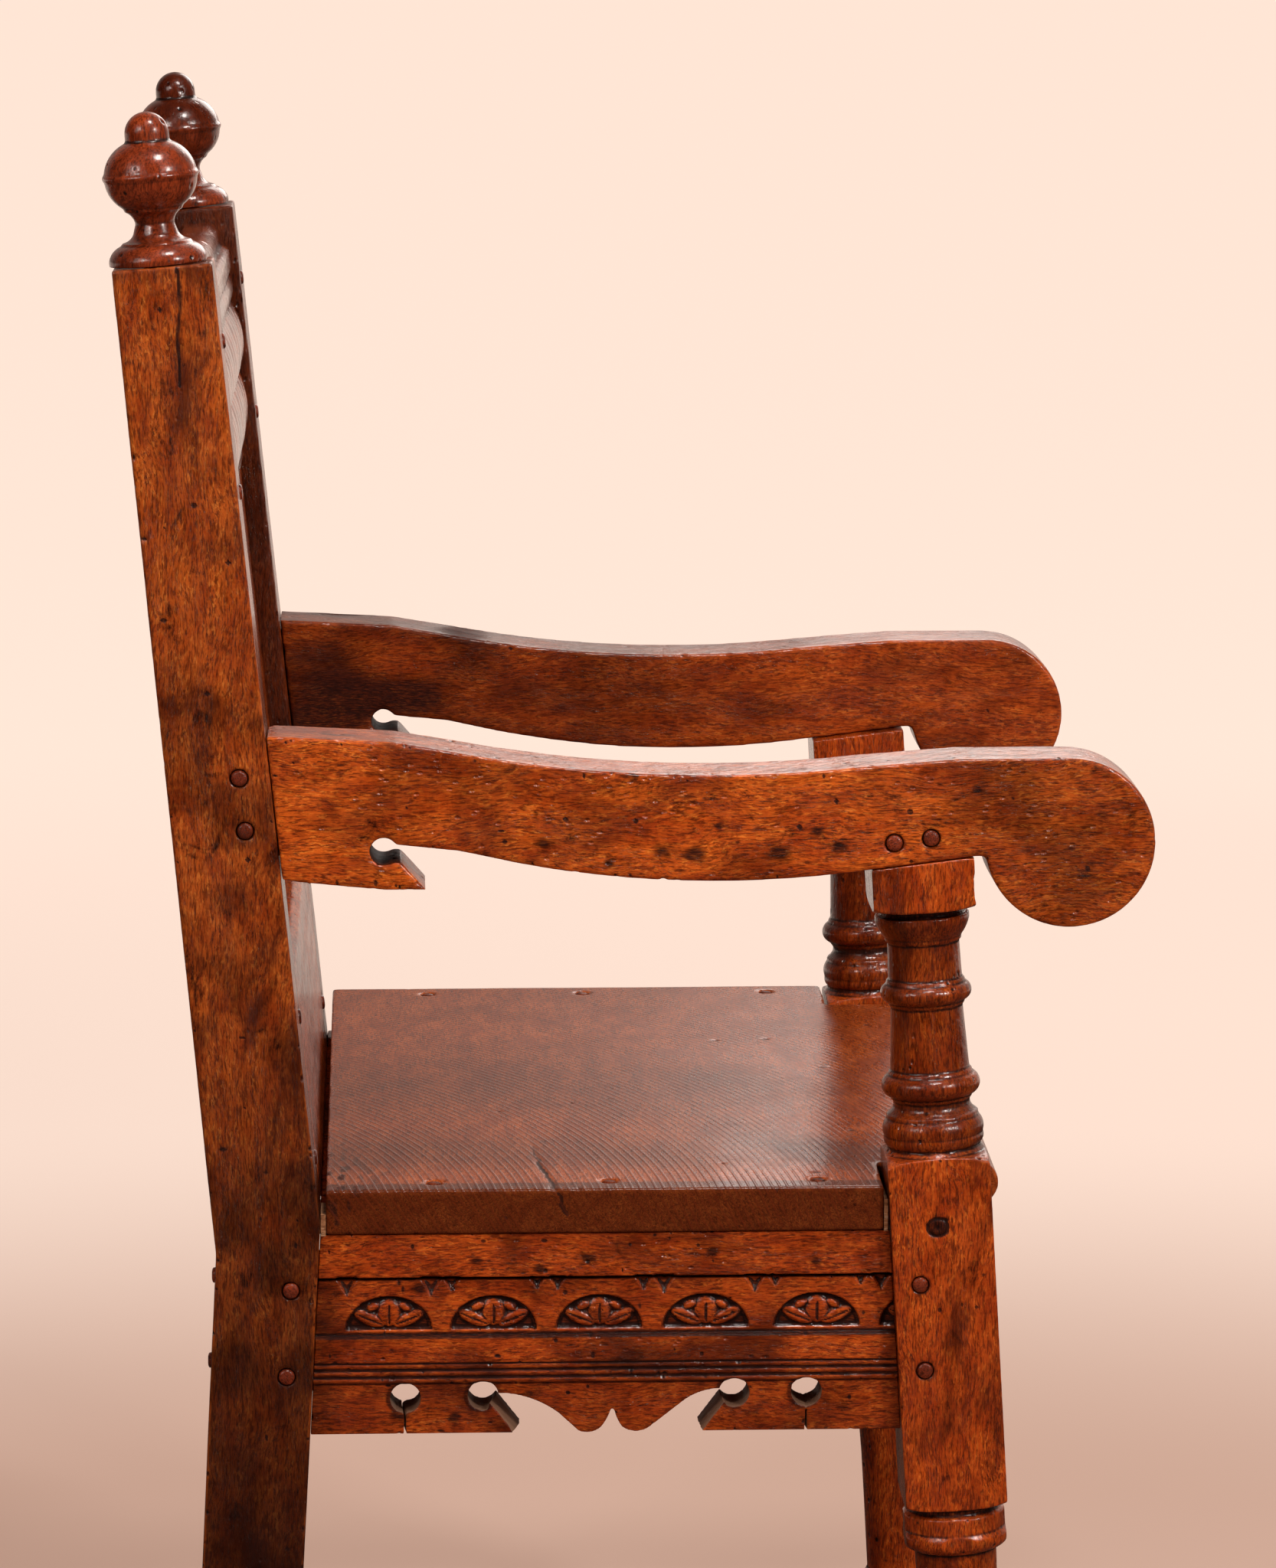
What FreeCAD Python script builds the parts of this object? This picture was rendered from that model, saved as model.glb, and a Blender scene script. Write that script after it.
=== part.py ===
import FreeCAD, Part
import math
import os

import Sketcher

# A joined oak armchair: raked panelled back, turned front posts, shaped arms, carved and pierced seat rails.
# +Z is up, the chair faces -Y and the sitter's right is -X. Lengths are millimetres, angles degrees.
# A level is a height above the seat top. A reach is a distance in front of the rear posts' knee,
# the place at seat level where their front face turns from the splay below to the rake above.

SIZES = {
    # Whole chair
    "overall_width": 580,
    "seat_height": 500,
    "knee_y": 189,
    "overrun": 5,
    # Rear posts
    "rear_post_width": 60,
    "rear_knee_depth": 63.3,
    "rear_top_depth": 59.5,
    "rear_foot_depth": 61.4,
    "knee_drop": 19.4,
    "back_knee_fall": 18.3,
    "rear_rise": 575.7,
    "post_top_tilt": 4.6,
    "rear_rake": 5.82,
    "rear_splay": 3.15,
    # Front posts
    "front_post_width": 64,
    "front_post_depth": 62,
    "front_post_reach": 373.2,
    "front_lean": 3.4,
    "arm_block_base": 168,
    "seat_block_top": 17.5,
    "seat_block_base": -202,
    "foot_block_height": 72,
    "pommel_drop": 5.5,
    "block_radius": 46,
    "pommel_radius": 31,
    # Turning of the arm supports and of the legs
    "groove_radius": 25.5,
    "cup_radius": 28.8,
    "cup_top": 163.5,
    "cup_base": 149.4,
    "neck_radius": 22.6,
    "upper_ring_radius": 27.9,
    "upper_ring_top": 121,
    "upper_ring_base": 110,
    "column_radius": 22,
    "column_foot_radius": 24.2,
    "lower_ring_radius": 30.2,
    "lower_ring_top": 65,
    "lower_ring_base": 52,
    "waist_radius": 23.4,
    "waist_level": 46,
    "base_torus_radius": 30.8,
    "base_torus_top": 38.5,
    "base_crease": 28,
    "flare_radius": 28,
    "flare_level": 21,
    "fillet_height": 2.3,
    "fillet_step": 1.4,
    "collar_radius": 31.6,
    "collar_top": -206,
    "collar_base": -231,
    "collar_neck_radius": 28.5,
    "shaft_top_radius": 25.2,
    "shaft_top": -238,
    "shaft_waist_radius": 23.2,
    # Rings of the leg, as heights above its square foot
    "leg_ring_top": 31,
    "leg_ring_base": 20,
    "leg_torus_top": 16,
    "leg_torus_base": 4,
    # Finials
    "finial_height": 89.7,
    "finial_setback": 2.9,
    "finial_base_radius": 29.2,
    "finial_ring_radius": 20.7,
    "finial_neck_radius": 11.6,
    "finial_bulb_radius": 27.6,
    "finial_tip_radius": 13.2,
    "dowel_radius": 8,
    "dowel_length": 30,
    # Arms
    "arm_thickness": 52,
    "arm_reach": 501.5,
    "arm_top": 261.7,
    "arm_rear_top": 277.7,
    "arm_rear_base": 190.1,
    "arm_bracket_base": 184.2,
    "scroll_radius": 51.5,
    "scroll_notch": 8.2,
    "arm_sag": 9.1,
    "arm_belly": 9,
    "arm_hole_radius": 8,
    "arm_hole_reach": 39.3,
    "arm_hole_level": 207.7,
    "arm_slot": 10,
    "arm_slot_run": 15.8,
    "arm_seat_slope": 7.05,
    "arm_seat_reach": 332.8,
    "arm_seat_level": 194.6,
    # Seat board, pins and wedges; the board rises to the left, as the photo shows
    "seat_thickness": 27.8,
    "seat_tilt": 1.5,
    "seat_recess": 6,
    "seat_back_gap": 3,
    "seat_front_gap": 2.2,
    "nosing": 11,
    "pin_radius": 4.5,
    "pin_length": 42,
    "pin_inset": 26,
    "wedge_length": 34,
    "wedge_height": 13,
    # Seat rails
    "rail_height": 124.5,
    "rail_thickness": 26,
    "rail_recess": 9,
    "fascia_height": 27.2,
    "band_height": 35.6,
    "band_sink": 3,
    "flat_height": 17.2,
    "reed_height": 4.4,
    "reed_sink": 2,
    "apron_height": 31.1,
    "apron_sink": 2.5,
    "apron_hole_radius": 9.2,
    "kerf_width": 3.2,
    "kerf_tip_width": 0.6,
    "back_rail_setback": 26,
    "back_rail_thickness": 24,
    # Back
    "crest_base": 412.5,
    "crest_height": 158.8,
    "crest_thickness": 32,
    "lower_rail_base": 4.4,
    "lower_rail_height": 143.4,
    "lower_rail_thickness": 32,
    "lower_rail_chamfer": 5,
    "panel_setback": 14,
    "panel_thickness": 14,
    "tongue_setback": 17,
    "tongue_thickness": 7,
    "groove_depth": 8,
    # Stretchers
    "stretcher_base": 16,
    "stretcher_height": 42,
    "stretcher_thickness": 24,
    "stretcher_recess": 16,
    # Joints
    "tenon_thickness": 10,
    "tenon_length": 27,
    "tenon_shoulder": 6,
    "rail_tenon_rise": 27,
    "rail_tenon_drop": 14,
    "rail_peg_drop": 18.3,
    "rail_peg_rise": 12,
    "arm_tenon_thickness": 14,
    "arm_tenon_length": 34,
    "arm_tenon_shoulder": 14,
    "post_tenon_depth": 48,
    "post_tenon_rise": 38,
    "arm_peg_inset": 18.5,
    "arm_peg_rise": 16.7,
    "arm_peg_drop": 11.2,
    "arm_front_peg_rise": 14.9,
    "arm_front_peg_shift": 6.4,
    "arm_peg_spread": 22,
    "joint_clearance": 0.3,
    "peg_radius": 5,
    "small_peg_radius": 4,
    "peg_depth": 38,
    "peg_proud": 1.2,
    "peg_inset": 16,
    "peg_clearance": 0.1,
}

RIGHT = -1
LEFT = 1
SIDES = (("right", RIGHT), ("left", LEFT))

doc = FreeCAD.newDocument("wainscot_chair")
sheet = doc.addObject("Spreadsheet::Sheet", "Sizes")
for row, (alias, size) in enumerate(SIZES.items(), start=1):
    sheet.set(f"A{row}", alias)
    sheet.set(f"B{row}", str(size))
    sheet.setAlias(f"B{row}", alias)
doc.recompute()


class Formula:
    """A number and the spreadsheet formula that gives it."""

    def __init__(self, number, text):
        self.number = number
        self.text = text

    def __add__(self, other):
        other = formula(other)
        return Formula(self.number + other.number, f"({self.text} + {other.text})")

    def __sub__(self, other):
        other = formula(other)
        return Formula(self.number - other.number, f"({self.text} - {other.text})")

    def __mul__(self, other):
        other = formula(other)
        return Formula(self.number * other.number, f"({self.text} * {other.text})")

    def __truediv__(self, other):
        other = formula(other)
        return Formula(self.number / other.number, f"({self.text} / {other.text})")

    def __neg__(self):
        return Formula(-self.number, f"(0 - {self.text})")

    def __radd__(self, other):
        return formula(other) + self

    def __rsub__(self, other):
        return formula(other) - self

    def __rmul__(self, other):
        return formula(other) * self


def formula(number):
    """A plain number as a formula; a formula stays as it is."""
    if isinstance(number, Formula):
        return number
    return Formula(float(number), f"({number:.9g})")


def sine(angle):
    return Formula(math.sin(math.radians(angle.number)), f"sin({angle.text})")


def cosine(angle):
    return Formula(math.cos(math.radians(angle.number)), f"cos({angle.text})")


def tangent(angle):
    return Formula(math.tan(math.radians(angle.number)), f"tan({angle.text})")


def root(square):
    return Formula(math.sqrt(square.number), f"sqrt({square.text})")


class Sheet:
    """Every size of the sheet as a formula, by its name."""

    def __init__(self):
        for name, number in SIZES.items():
            setattr(self, name, Formula(float(number), f"Sizes.{name}"))


s = Sheet()
half = s.overall_width / 2
ZERO = formula(0)


# Places on the posts

def rear_face(level):
    """Y of the rear posts' front face at a level."""
    above = level + s.knee_drop
    if above.number > 0:
        return s.knee_y + above * tangent(s.rear_rake)
    return s.knee_y - above * tangent(s.rear_splay)


def front_axis(level):
    """Y of the front posts' axis at a level."""
    return s.knee_y - s.front_post_reach + level * tangent(s.front_lean)


def front_post_back(level):
    """Y of the front posts' back face at a level."""
    return front_axis(level) + s.front_post_depth / 2 / cosine(s.front_lean)


def front_post_front(level):
    """Y of the front posts' front face at a level."""
    return front_axis(level) - s.front_post_depth / 2 / cosine(s.front_lean)


class Frame:
    """A frame that is moved along Y and Z and leans back by an angle about X."""

    def __init__(self, y, z, tilt):
        self.y = y
        self.z = z
        self.tilt = tilt

    def place(self, y, z):
        """Y and Z in the chair of a point of this frame."""
        return (self.y + y * cosine(self.tilt) + z * sine(self.tilt),
                self.z - y * sine(self.tilt) + z * cosine(self.tilt))


level_frame = Frame(ZERO, ZERO, None)
back_frame = Frame(s.knee_y, s.seat_height - s.knee_drop, s.rear_rake)
post_top_y = s.rear_rise * tangent(s.rear_rake)
finial_frame = Frame(s.knee_y + post_top_y + s.rear_top_depth / 2 + s.finial_setback,
                     s.seat_height - s.knee_drop + s.rear_rise, s.post_top_tilt)
front_frame = Frame(front_axis(ZERO), s.seat_height, s.front_lean)
arm_seat_frame = Frame(s.knee_y - s.arm_seat_reach, s.seat_height + s.arm_seat_level, s.arm_seat_slope)


# Binding and placing objects

def bind(item, name, amount):
    item.setExpression(name, formula(amount).text)


def set_place(item, x, y, z, frame=level_frame):
    """Put an object's origin at a point of a frame, turned as the frame is."""
    if frame.tilt is not None:
        y, z = frame.place(y, z)
        item.Placement = FreeCAD.Placement(
            FreeCAD.Vector(), FreeCAD.Rotation(FreeCAD.Vector(-1, 0, 0), frame.tilt.number))
        bind(item, "Placement.Rotation.Angle", frame.tilt)
    bind(item, "Placement.Base.x", x)
    bind(item, "Placement.Base.y", y)
    bind(item, "Placement.Base.z", z)


def size_box(item, x, y, z):
    bind(item, "Length", x[1] - x[0])
    bind(item, "Width", y[1] - y[0])
    bind(item, "Height", z[1] - z[0])


def box(name, x, y, z, frame=level_frame):
    """A block between low and high X, Y and Z of a frame."""
    item = doc.addObject("Part::Box", name)
    size_box(item, x, y, z)
    set_place(item, x[0], y[0], z[0], frame)
    return item


def cylinder(name, radius, length, start, direction, frame=level_frame):
    """A round bar from a start point, along X, Y or Z of a frame."""
    item = doc.addObject("Part::Cylinder", name)
    bind(item, "Radius", radius)
    bind(item, "Height", length)
    tilt = formula(0) if frame.tilt is None else frame.tilt
    if direction == "X":
        item.Placement = FreeCAD.Placement(
            FreeCAD.Vector(), FreeCAD.Rotation(FreeCAD.Vector(0, 1, 0), 90))
    else:
        angle = tilt + 90 if direction == "Y" else tilt
        item.Placement = FreeCAD.Placement(
            FreeCAD.Vector(), FreeCAD.Rotation(FreeCAD.Vector(-1, 0, 0), angle.number))
        bind(item, "Placement.Rotation.Angle", angle)
    x, y, z = start
    if frame.tilt is not None:
        y, z = frame.place(y, z)
    bind(item, "Placement.Base.x", x)
    bind(item, "Placement.Base.y", y)
    bind(item, "Placement.Base.z", z)
    return item


def span(side, inner, outer):
    """Low and high X of a stretch between two distances from the middle, on one side of the chair."""
    if side == LEFT:
        return (inner, outer)
    return (-outer, -inner)


# Sketched bodies

def new_body(name):
    body = doc.addObject("PartDesign::Body", name)
    body.Label = name
    return body


def new_sketch(body, role):
    sketch = body.newObject("Sketcher::SketchObject", f"{body.Name}_outline")
    for plane in body.Origin.OriginFeatures:
        if plane.Role == role:
            sketch.AttachmentSupport = [(plane, "")]
    sketch.MapMode = "FlatFace"
    return sketch


def draw_outline(sketch, corners):
    """A closed outline, drawn anticlockwise.

    A corner is (x, y) or (x, y, bulge): the bulge is the rise of an arc from this corner to the
    next one, outwards where it is positive and inwards where it is negative.
    """
    corners = [tuple(formula(part) for part in corner) for corner in corners]
    ends = []
    for number, corner in enumerate(corners):
        x, y = corner[:2]
        next_x, next_y = corners[(number + 1) % len(corners)][:2]
        start = FreeCAD.Vector(x.number, y.number, 0)
        end = FreeCAD.Vector(next_x.number, next_y.number, 0)
        if len(corner) == 2:
            sketch.addGeometry(Part.LineSegment(start, end), False)
            ends.append((1, 2))
            continue
        bulge = corner[2]
        outwards = bulge.number > 0
        across = (end - start).cross(FreeCAD.Vector(0, 0, 1)).normalize()
        middle = (start + end) * 0.5 + across * bulge.number
        arc = Part.Arc(start, middle, end) if outwards else Part.Arc(end, middle, start)
        sketch.addGeometry(arc, False)
        ends.append((1, 2) if outwards else (2, 1))
    for number, corner in enumerate(corners):
        before = number - 1 if number else len(corners) - 1
        sketch.addConstraint(Sketcher.Constraint("Coincident", before, ends[before][1], number, ends[number][0]))
    for number, corner in enumerate(corners):
        for kind, axis in (("DistanceX", 0), ("DistanceY", 1)):
            limit = sketch.addConstraint(
                Sketcher.Constraint(kind, -1, 1, number, ends[number][0], corner[axis].number))
            sketch.setExpression(f"Constraints[{limit}]", corner[axis].text)
        if len(corner) == 3:
            next_x, next_y = corners[(number + 1) % len(corners)][:2]
            run = next_x - corner[0]
            rise = next_y - corner[1]
            bulge = corner[2] if corner[2].number > 0 else -corner[2]
            radius = ((run * run + rise * rise) / 4 + bulge * bulge) / (bulge * 2)
            limit = sketch.addConstraint(Sketcher.Constraint("Radius", number, radius.number))
            sketch.setExpression(f"Constraints[{limit}]", radius.text)


def board(name, role, corners, thickness):
    """A body padded from an outline on one of its own planes."""
    body = new_body(name)
    sketch = new_sketch(body, role)
    draw_outline(sketch, corners)
    pad = body.newObject("PartDesign::Pad", f"{name}_pad")
    pad.Profile = sketch
    bind(pad, "Length", thickness)
    sketch.Visibility = False
    body.Tip = pad
    return body


def turning(name, corners):
    """A body turned about its own Z axis from an outline of radius and height."""
    body = new_body(name)
    sketch = new_sketch(body, "XZ_Plane")
    draw_outline(sketch, corners)
    turned = body.newObject("PartDesign::Revolution", f"{name}_turned")
    turned.Profile = sketch
    turned.ReferenceAxis = (sketch, ["V_Axis"])
    turned.Angle = 360
    sketch.Visibility = False
    body.Tip = turned
    return body


def add_block(body, kind, name, x, y, z):
    """Add (Additive) or cut (Subtractive) a block in a body's own frame."""
    item = body.newObject(f"PartDesign::{kind}Box", name)
    size_box(item, x, y, z)
    bind(item, "Placement.Base.x", x[0])
    bind(item, "Placement.Base.y", y[0])
    bind(item, "Placement.Base.z", z[0])
    body.Tip = item
    return item


def add_bore(body, name, radius, x, y, z, length):
    """Cut a round hole along X in a body's own frame."""
    item = body.newObject("PartDesign::SubtractiveCylinder", name)
    bind(item, "Radius", radius)
    bind(item, "Height", length)
    item.Placement = FreeCAD.Placement(FreeCAD.Vector(), FreeCAD.Rotation(FreeCAD.Vector(0, 1, 0), 90))
    bind(item, "Placement.Base.x", x)
    bind(item, "Placement.Base.y", y)
    bind(item, "Placement.Base.z", z)
    body.Tip = item
    return item


# Finished pieces

nodes = []


def finish(label, blank, cutters=()):
    """The named piece: its blank with every mortise and peg hole cut."""
    piece = blank
    if cutters:
        tool = cutters[0]
        if len(cutters) > 1:
            tool = doc.addObject("Part::MultiFuse", f"{label}_cuts")
            tool.Shapes = list(cutters)
        piece = doc.addObject("Part::Cut", f"{label}_piece")
        piece.Base = blank
        piece.Tool = tool
    piece.Label = label
    nodes.append(piece)
    return piece


def group(label, solids):
    """Like pieces that share one node."""
    item = doc.addObject("Part::Compound", f"{label}_group")
    item.Links = solids
    item.Label = label
    nodes.append(item)
    return item


class Pegs:
    """The pegs of one node, and the holes that they need in the pieces they pass through."""

    def __init__(self):
        self.solids = []
        self.holes = []

    def add(self, name, start, direction, frame=level_frame, radius=s.peg_radius, depth=s.peg_depth):
        """A peg from its head's end; the hole is a little wider and longer."""
        length = depth + s.peg_proud
        self.solids.append(cylinder(name, radius, length, start, direction, frame))
        hole = cylinder(f"{name}_hole", radius + s.peg_clearance, length, start, direction, frame)
        self.holes.append(hole)
        return hole

    def across(self, name, side, y, z, radius=s.peg_radius, depth=s.peg_depth):
        """A peg driven from a side of the chair towards its middle."""
        start = -half - s.peg_proud if side == RIGHT else half - depth
        return self.add(name, (start, y, z), "X", radius=radius, depth=depth)


def grown(low_high, clearance):
    return (low_high[0] - clearance, low_high[1] + clearance)


def mortise(name, x, y, z, frame=level_frame):
    """The hollow for a tenon: a clearance larger on every side."""
    room = s.joint_clearance
    return box(name, grown(x, room), grown(y, room), grown(z, room), frame)


# Levels of the seat's layers
rail_top = -(s.seat_thickness / cosine(s.seat_tilt))
rail_base = rail_top - s.rail_height
rail_tenon = (rail_base + s.rail_tenon_rise, rail_top - s.rail_tenon_drop)
rail_peg_levels = (rail_tenon[1] - s.rail_peg_drop, rail_tenon[0] + s.rail_peg_rise)
floor_level = -s.seat_height
stretcher_levels = (floor_level + s.stretcher_base, floor_level + s.stretcher_base + s.stretcher_height)
stretcher_middle = floor_level + s.stretcher_base + s.stretcher_height / 2
stretcher_tenon = (stretcher_levels[0] + s.tenon_shoulder, stretcher_levels[1] - s.tenon_shoulder)


def heights(levels):
    """Low and high Z of two levels."""
    return tuple(level + s.seat_height for level in levels)


def seat_rise(x):
    """How far the seat board has risen at an X, from its right end."""
    return (x + half - s.seat_recess) * tangent(s.seat_tilt)


# X places of the pieces beside the posts, as distances from the middle
rear_inner = half - s.rear_post_width
front_inner = half - s.front_post_width
side_tenon_outer = half - s.rail_recess - (s.rail_thickness - s.tenon_thickness) / 2
side_tenon = (side_tenon_outer - s.tenon_thickness, side_tenon_outer)
stretcher_tenon_outer = half - s.stretcher_recess - (s.stretcher_thickness - s.tenon_thickness) / 2
side_stretcher_tenon = (stretcher_tenon_outer - s.tenon_thickness, stretcher_tenon_outer)
arm_tenon_outer = half - (s.arm_thickness - s.arm_tenon_thickness) / 2
arm_tenon = (arm_tenon_outer - s.arm_tenon_thickness, arm_tenon_outer)

# Y places of the tenons that run from post to post
front_rail_front = front_post_front(rail_top) + s.rail_recess
front_tenon_y = (front_rail_front + (s.rail_thickness - s.tenon_thickness) / 2,
                 front_rail_front + (s.rail_thickness + s.tenon_thickness) / 2)
back_rail_front = s.knee_y + s.back_rail_setback
back_tenon_y = (back_rail_front + (s.back_rail_thickness - s.tenon_thickness) / 2,
                back_rail_front + (s.back_rail_thickness + s.tenon_thickness) / 2)
front_stretcher_front = front_post_front(stretcher_middle) + s.stretcher_recess
front_stretcher_y = (front_stretcher_front + (s.stretcher_thickness - s.tenon_thickness) / 2,
                     front_stretcher_front + (s.stretcher_thickness + s.tenon_thickness) / 2)
back_stretcher_front = rear_face(stretcher_middle) + s.back_rail_setback
back_stretcher_y = (back_stretcher_front + (s.stretcher_thickness - s.tenon_thickness) / 2,
                    back_stretcher_front + (s.stretcher_thickness + s.tenon_thickness) / 2)

# Heights along the raked back, from the knee
crest_top = s.crest_base + s.crest_height
lower_rail_top = s.lower_rail_base + s.lower_rail_height
crest_tenon_v = (s.crest_base + s.tenon_shoulder * 2, crest_top - s.tenon_shoulder * 4)
crest_tenon_u = (s.tongue_setback, s.tongue_setback + s.tenon_thickness)
lower_tenon_v = (s.lower_rail_base + s.tenon_shoulder * 2, lower_rail_top - s.tenon_shoulder * 2)
groove_u = (s.tongue_setback, s.tongue_setback + s.tongue_thickness)

# Arm tenons
arm_tenon_levels = (s.arm_rear_base + s.arm_tenon_shoulder, s.arm_rear_top - s.arm_tenon_shoulder)
arm_tenon_back = rear_face(arm_tenon_levels[0]) + s.arm_tenon_length
post_tenon_middle = front_axis(s.arm_seat_level)
post_tenon_y = (post_tenon_middle - s.post_tenon_depth / 2, post_tenon_middle + s.post_tenon_depth / 2)
post_tenon_top = s.arm_seat_level + s.post_tenon_rise


# Pegs, made first because posts, rails and arms are bored for them

def make_arm_pegs(name, side):
    pegs = Pegs()
    for number, level in enumerate((arm_tenon_levels[0] + s.arm_peg_rise,
                                    arm_tenon_levels[1] - s.arm_peg_drop)):
        pegs.across(f"arm_rear_peg_{name}_{number}", side, rear_face(level) + s.arm_peg_inset,
                    level + s.seat_height)
    for number, offset in enumerate((-s.arm_peg_spread / 2, s.arm_peg_spread / 2)):
        y = post_tenon_middle + s.arm_front_peg_shift + offset
        slope = (s.knee_y - y - s.arm_seat_reach) * tangent(s.arm_seat_slope)
        level = s.arm_seat_level + slope + s.arm_front_peg_rise
        pegs.across(f"arm_front_peg_{name}_{number}", side, y, level + s.seat_height)
    group(f"arm_pegs_{name}", pegs.solids)
    return pegs.holes


def make_rail_pegs(name, side):
    pegs = Pegs()
    for number, level in enumerate(rail_peg_levels):
        pegs.across(f"rail_rear_peg_{name}_{number}", side, rear_face(level) + s.peg_inset,
                    level + s.seat_height)
        pegs.across(f"rail_front_peg_{name}_{number}", side, front_post_back(level) - s.peg_inset,
                    level + s.seat_height)
    group(f"rail_pegs_{name}", pegs.solids)
    return pegs.holes


def make_front_rail_pegs():
    pegs = Pegs()
    for name, side in SIDES:
        for number, level in enumerate(rail_peg_levels):
            start = (side * (front_inner + s.peg_inset), front_post_front(level) - s.peg_proud,
                     level + s.seat_height)
            pegs.add(f"front_rail_peg_{name}_{number}", start, "Y")
    group("front_rail_pegs", pegs.solids)
    return pegs.holes


def make_back_frame_pegs():
    """Pegs of the crest rail and lower rail, driven from the front, and of the seat rail, from the back."""
    pegs = Pegs()
    for name, side in SIDES:
        x = side * (rear_inner + s.peg_inset)
        places = (("crest_high", crest_tenon_v[1] - s.peg_inset), ("crest_low", crest_tenon_v[0] + s.peg_inset),
                  ("lower_high", lower_tenon_v[1] - s.peg_inset), ("lower_low", lower_tenon_v[0] + s.peg_inset))
        for place, height in places:
            pegs.add(f"{place}_peg_{name}", (x, -s.peg_proud, height), "Y", back_frame)
        for number, level in enumerate(rail_peg_levels):
            back = rear_face(level) + s.rear_knee_depth
            pegs.add(f"back_rail_peg_{name}_{number}", (x, back - s.peg_depth, level + s.seat_height), "Y")
    group("back_frame_pegs", pegs.solids)
    return pegs.holes


def make_stretcher_pegs():
    pegs = Pegs()
    radius = s.small_peg_radius
    height = stretcher_middle + s.seat_height
    for name, side in SIDES:
        pegs.across(f"side_stretcher_rear_peg_{name}", side, rear_face(stretcher_middle) + s.peg_inset,
                    height, radius)
        pegs.across(f"side_stretcher_front_peg_{name}", side, front_post_back(stretcher_middle) - s.peg_inset,
                    height, radius)
        x = side * (front_inner + s.peg_inset)
        pegs.add(f"front_stretcher_peg_{name}",
                 (x, front_post_front(stretcher_middle) - s.peg_proud, height), "Y", radius=radius)
        x = side * (rear_inner + s.peg_inset)
        back = rear_face(stretcher_middle) + s.rear_foot_depth
        pegs.add(f"back_stretcher_peg_{name}", (x, back - s.peg_depth, height), "Y", radius=radius)
    group("stretcher_pegs", pegs.solids)
    return pegs.holes


# Posts

def make_rear_post(name, side, peg_holes):
    foot = s.seat_height - s.knee_drop
    foot_y = foot * tangent(s.rear_splay)
    tip = s.rear_top_depth / 2 * tangent(s.post_top_tilt)
    top_front = s.rear_rise + tip
    blank = board(f"rear_post_{name}_blank", "YZ_Plane", (
        (foot_y, -foot),
        (foot_y + s.rear_foot_depth, -foot),
        (s.rear_knee_depth, -s.back_knee_fall),
        (post_top_y + s.rear_top_depth, s.rear_rise - tip),
        (top_front * tangent(s.rear_rake), top_front),
        (0, 0),
    ), s.rear_post_width)
    low_x, high_x = span(side, rear_inner, half)
    set_place(blank, low_x, s.knee_y, s.seat_height - s.knee_drop)
    deep = (rear_inner - s.overrun, rear_inner + s.tenon_length)
    cuts = [
        mortise(f"{name}_rear_rail_mortise", span(side, *side_tenon),
                (s.knee_y - s.overrun, rear_face(rail_top) + s.tenon_length), heights(rail_tenon)),
        mortise(f"{name}_rear_stretcher_mortise", span(side, *side_stretcher_tenon),
                (s.knee_y, rear_face(stretcher_middle) + s.tenon_length), heights(stretcher_tenon)),
        mortise(f"{name}_arm_rear_mortise", span(side, *arm_tenon),
                (s.knee_y, arm_tenon_back), heights(arm_tenon_levels)),
        mortise(f"{name}_back_rail_mortise", span(side, *deep), back_tenon_y, heights(rail_tenon)),
        mortise(f"{name}_back_stretcher_mortise", span(side, *deep), back_stretcher_y,
                heights(stretcher_tenon)),
        mortise(f"{name}_crest_mortise", span(side, *deep), crest_tenon_u, crest_tenon_v, back_frame),
        mortise(f"{name}_lower_rail_mortise", span(side, *deep), crest_tenon_u, lower_tenon_v, back_frame),
        mortise(f"{name}_panel_groove", span(side, rear_inner - s.overrun, rear_inner + s.groove_depth),
                groove_u, (lower_rail_top - s.groove_depth, s.crest_base + s.groove_depth), back_frame),
        cylinder(f"{name}_finial_hole", s.dowel_radius + s.peg_clearance, s.dowel_length + s.overrun,
                 (side * (half - s.rear_post_width / 2), ZERO, -s.dowel_length), "Z", finial_frame),
    ]
    return finish(f"rear_post_{name}", blank, cuts + peg_holes)


# Place of the leg's slimmest point, between the top of its shaft and its ring
SHAFT_WAIST_SHARE = 0.4528


def ring_corners(base, top, radius, below, above, edge):
    """A rounded ring between two thin fillets, on a shaft whose radius is below and above it as given."""
    return (
        (below, base - s.fillet_height),
        (below + s.fillet_step, base - s.fillet_height),
        (below + s.fillet_step, base),
        (edge, base, radius - edge),
        (edge, top),
        (above + s.fillet_step, top),
        (above + s.fillet_step, top + s.fillet_height),
        (above, top + s.fillet_height),
    )


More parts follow.
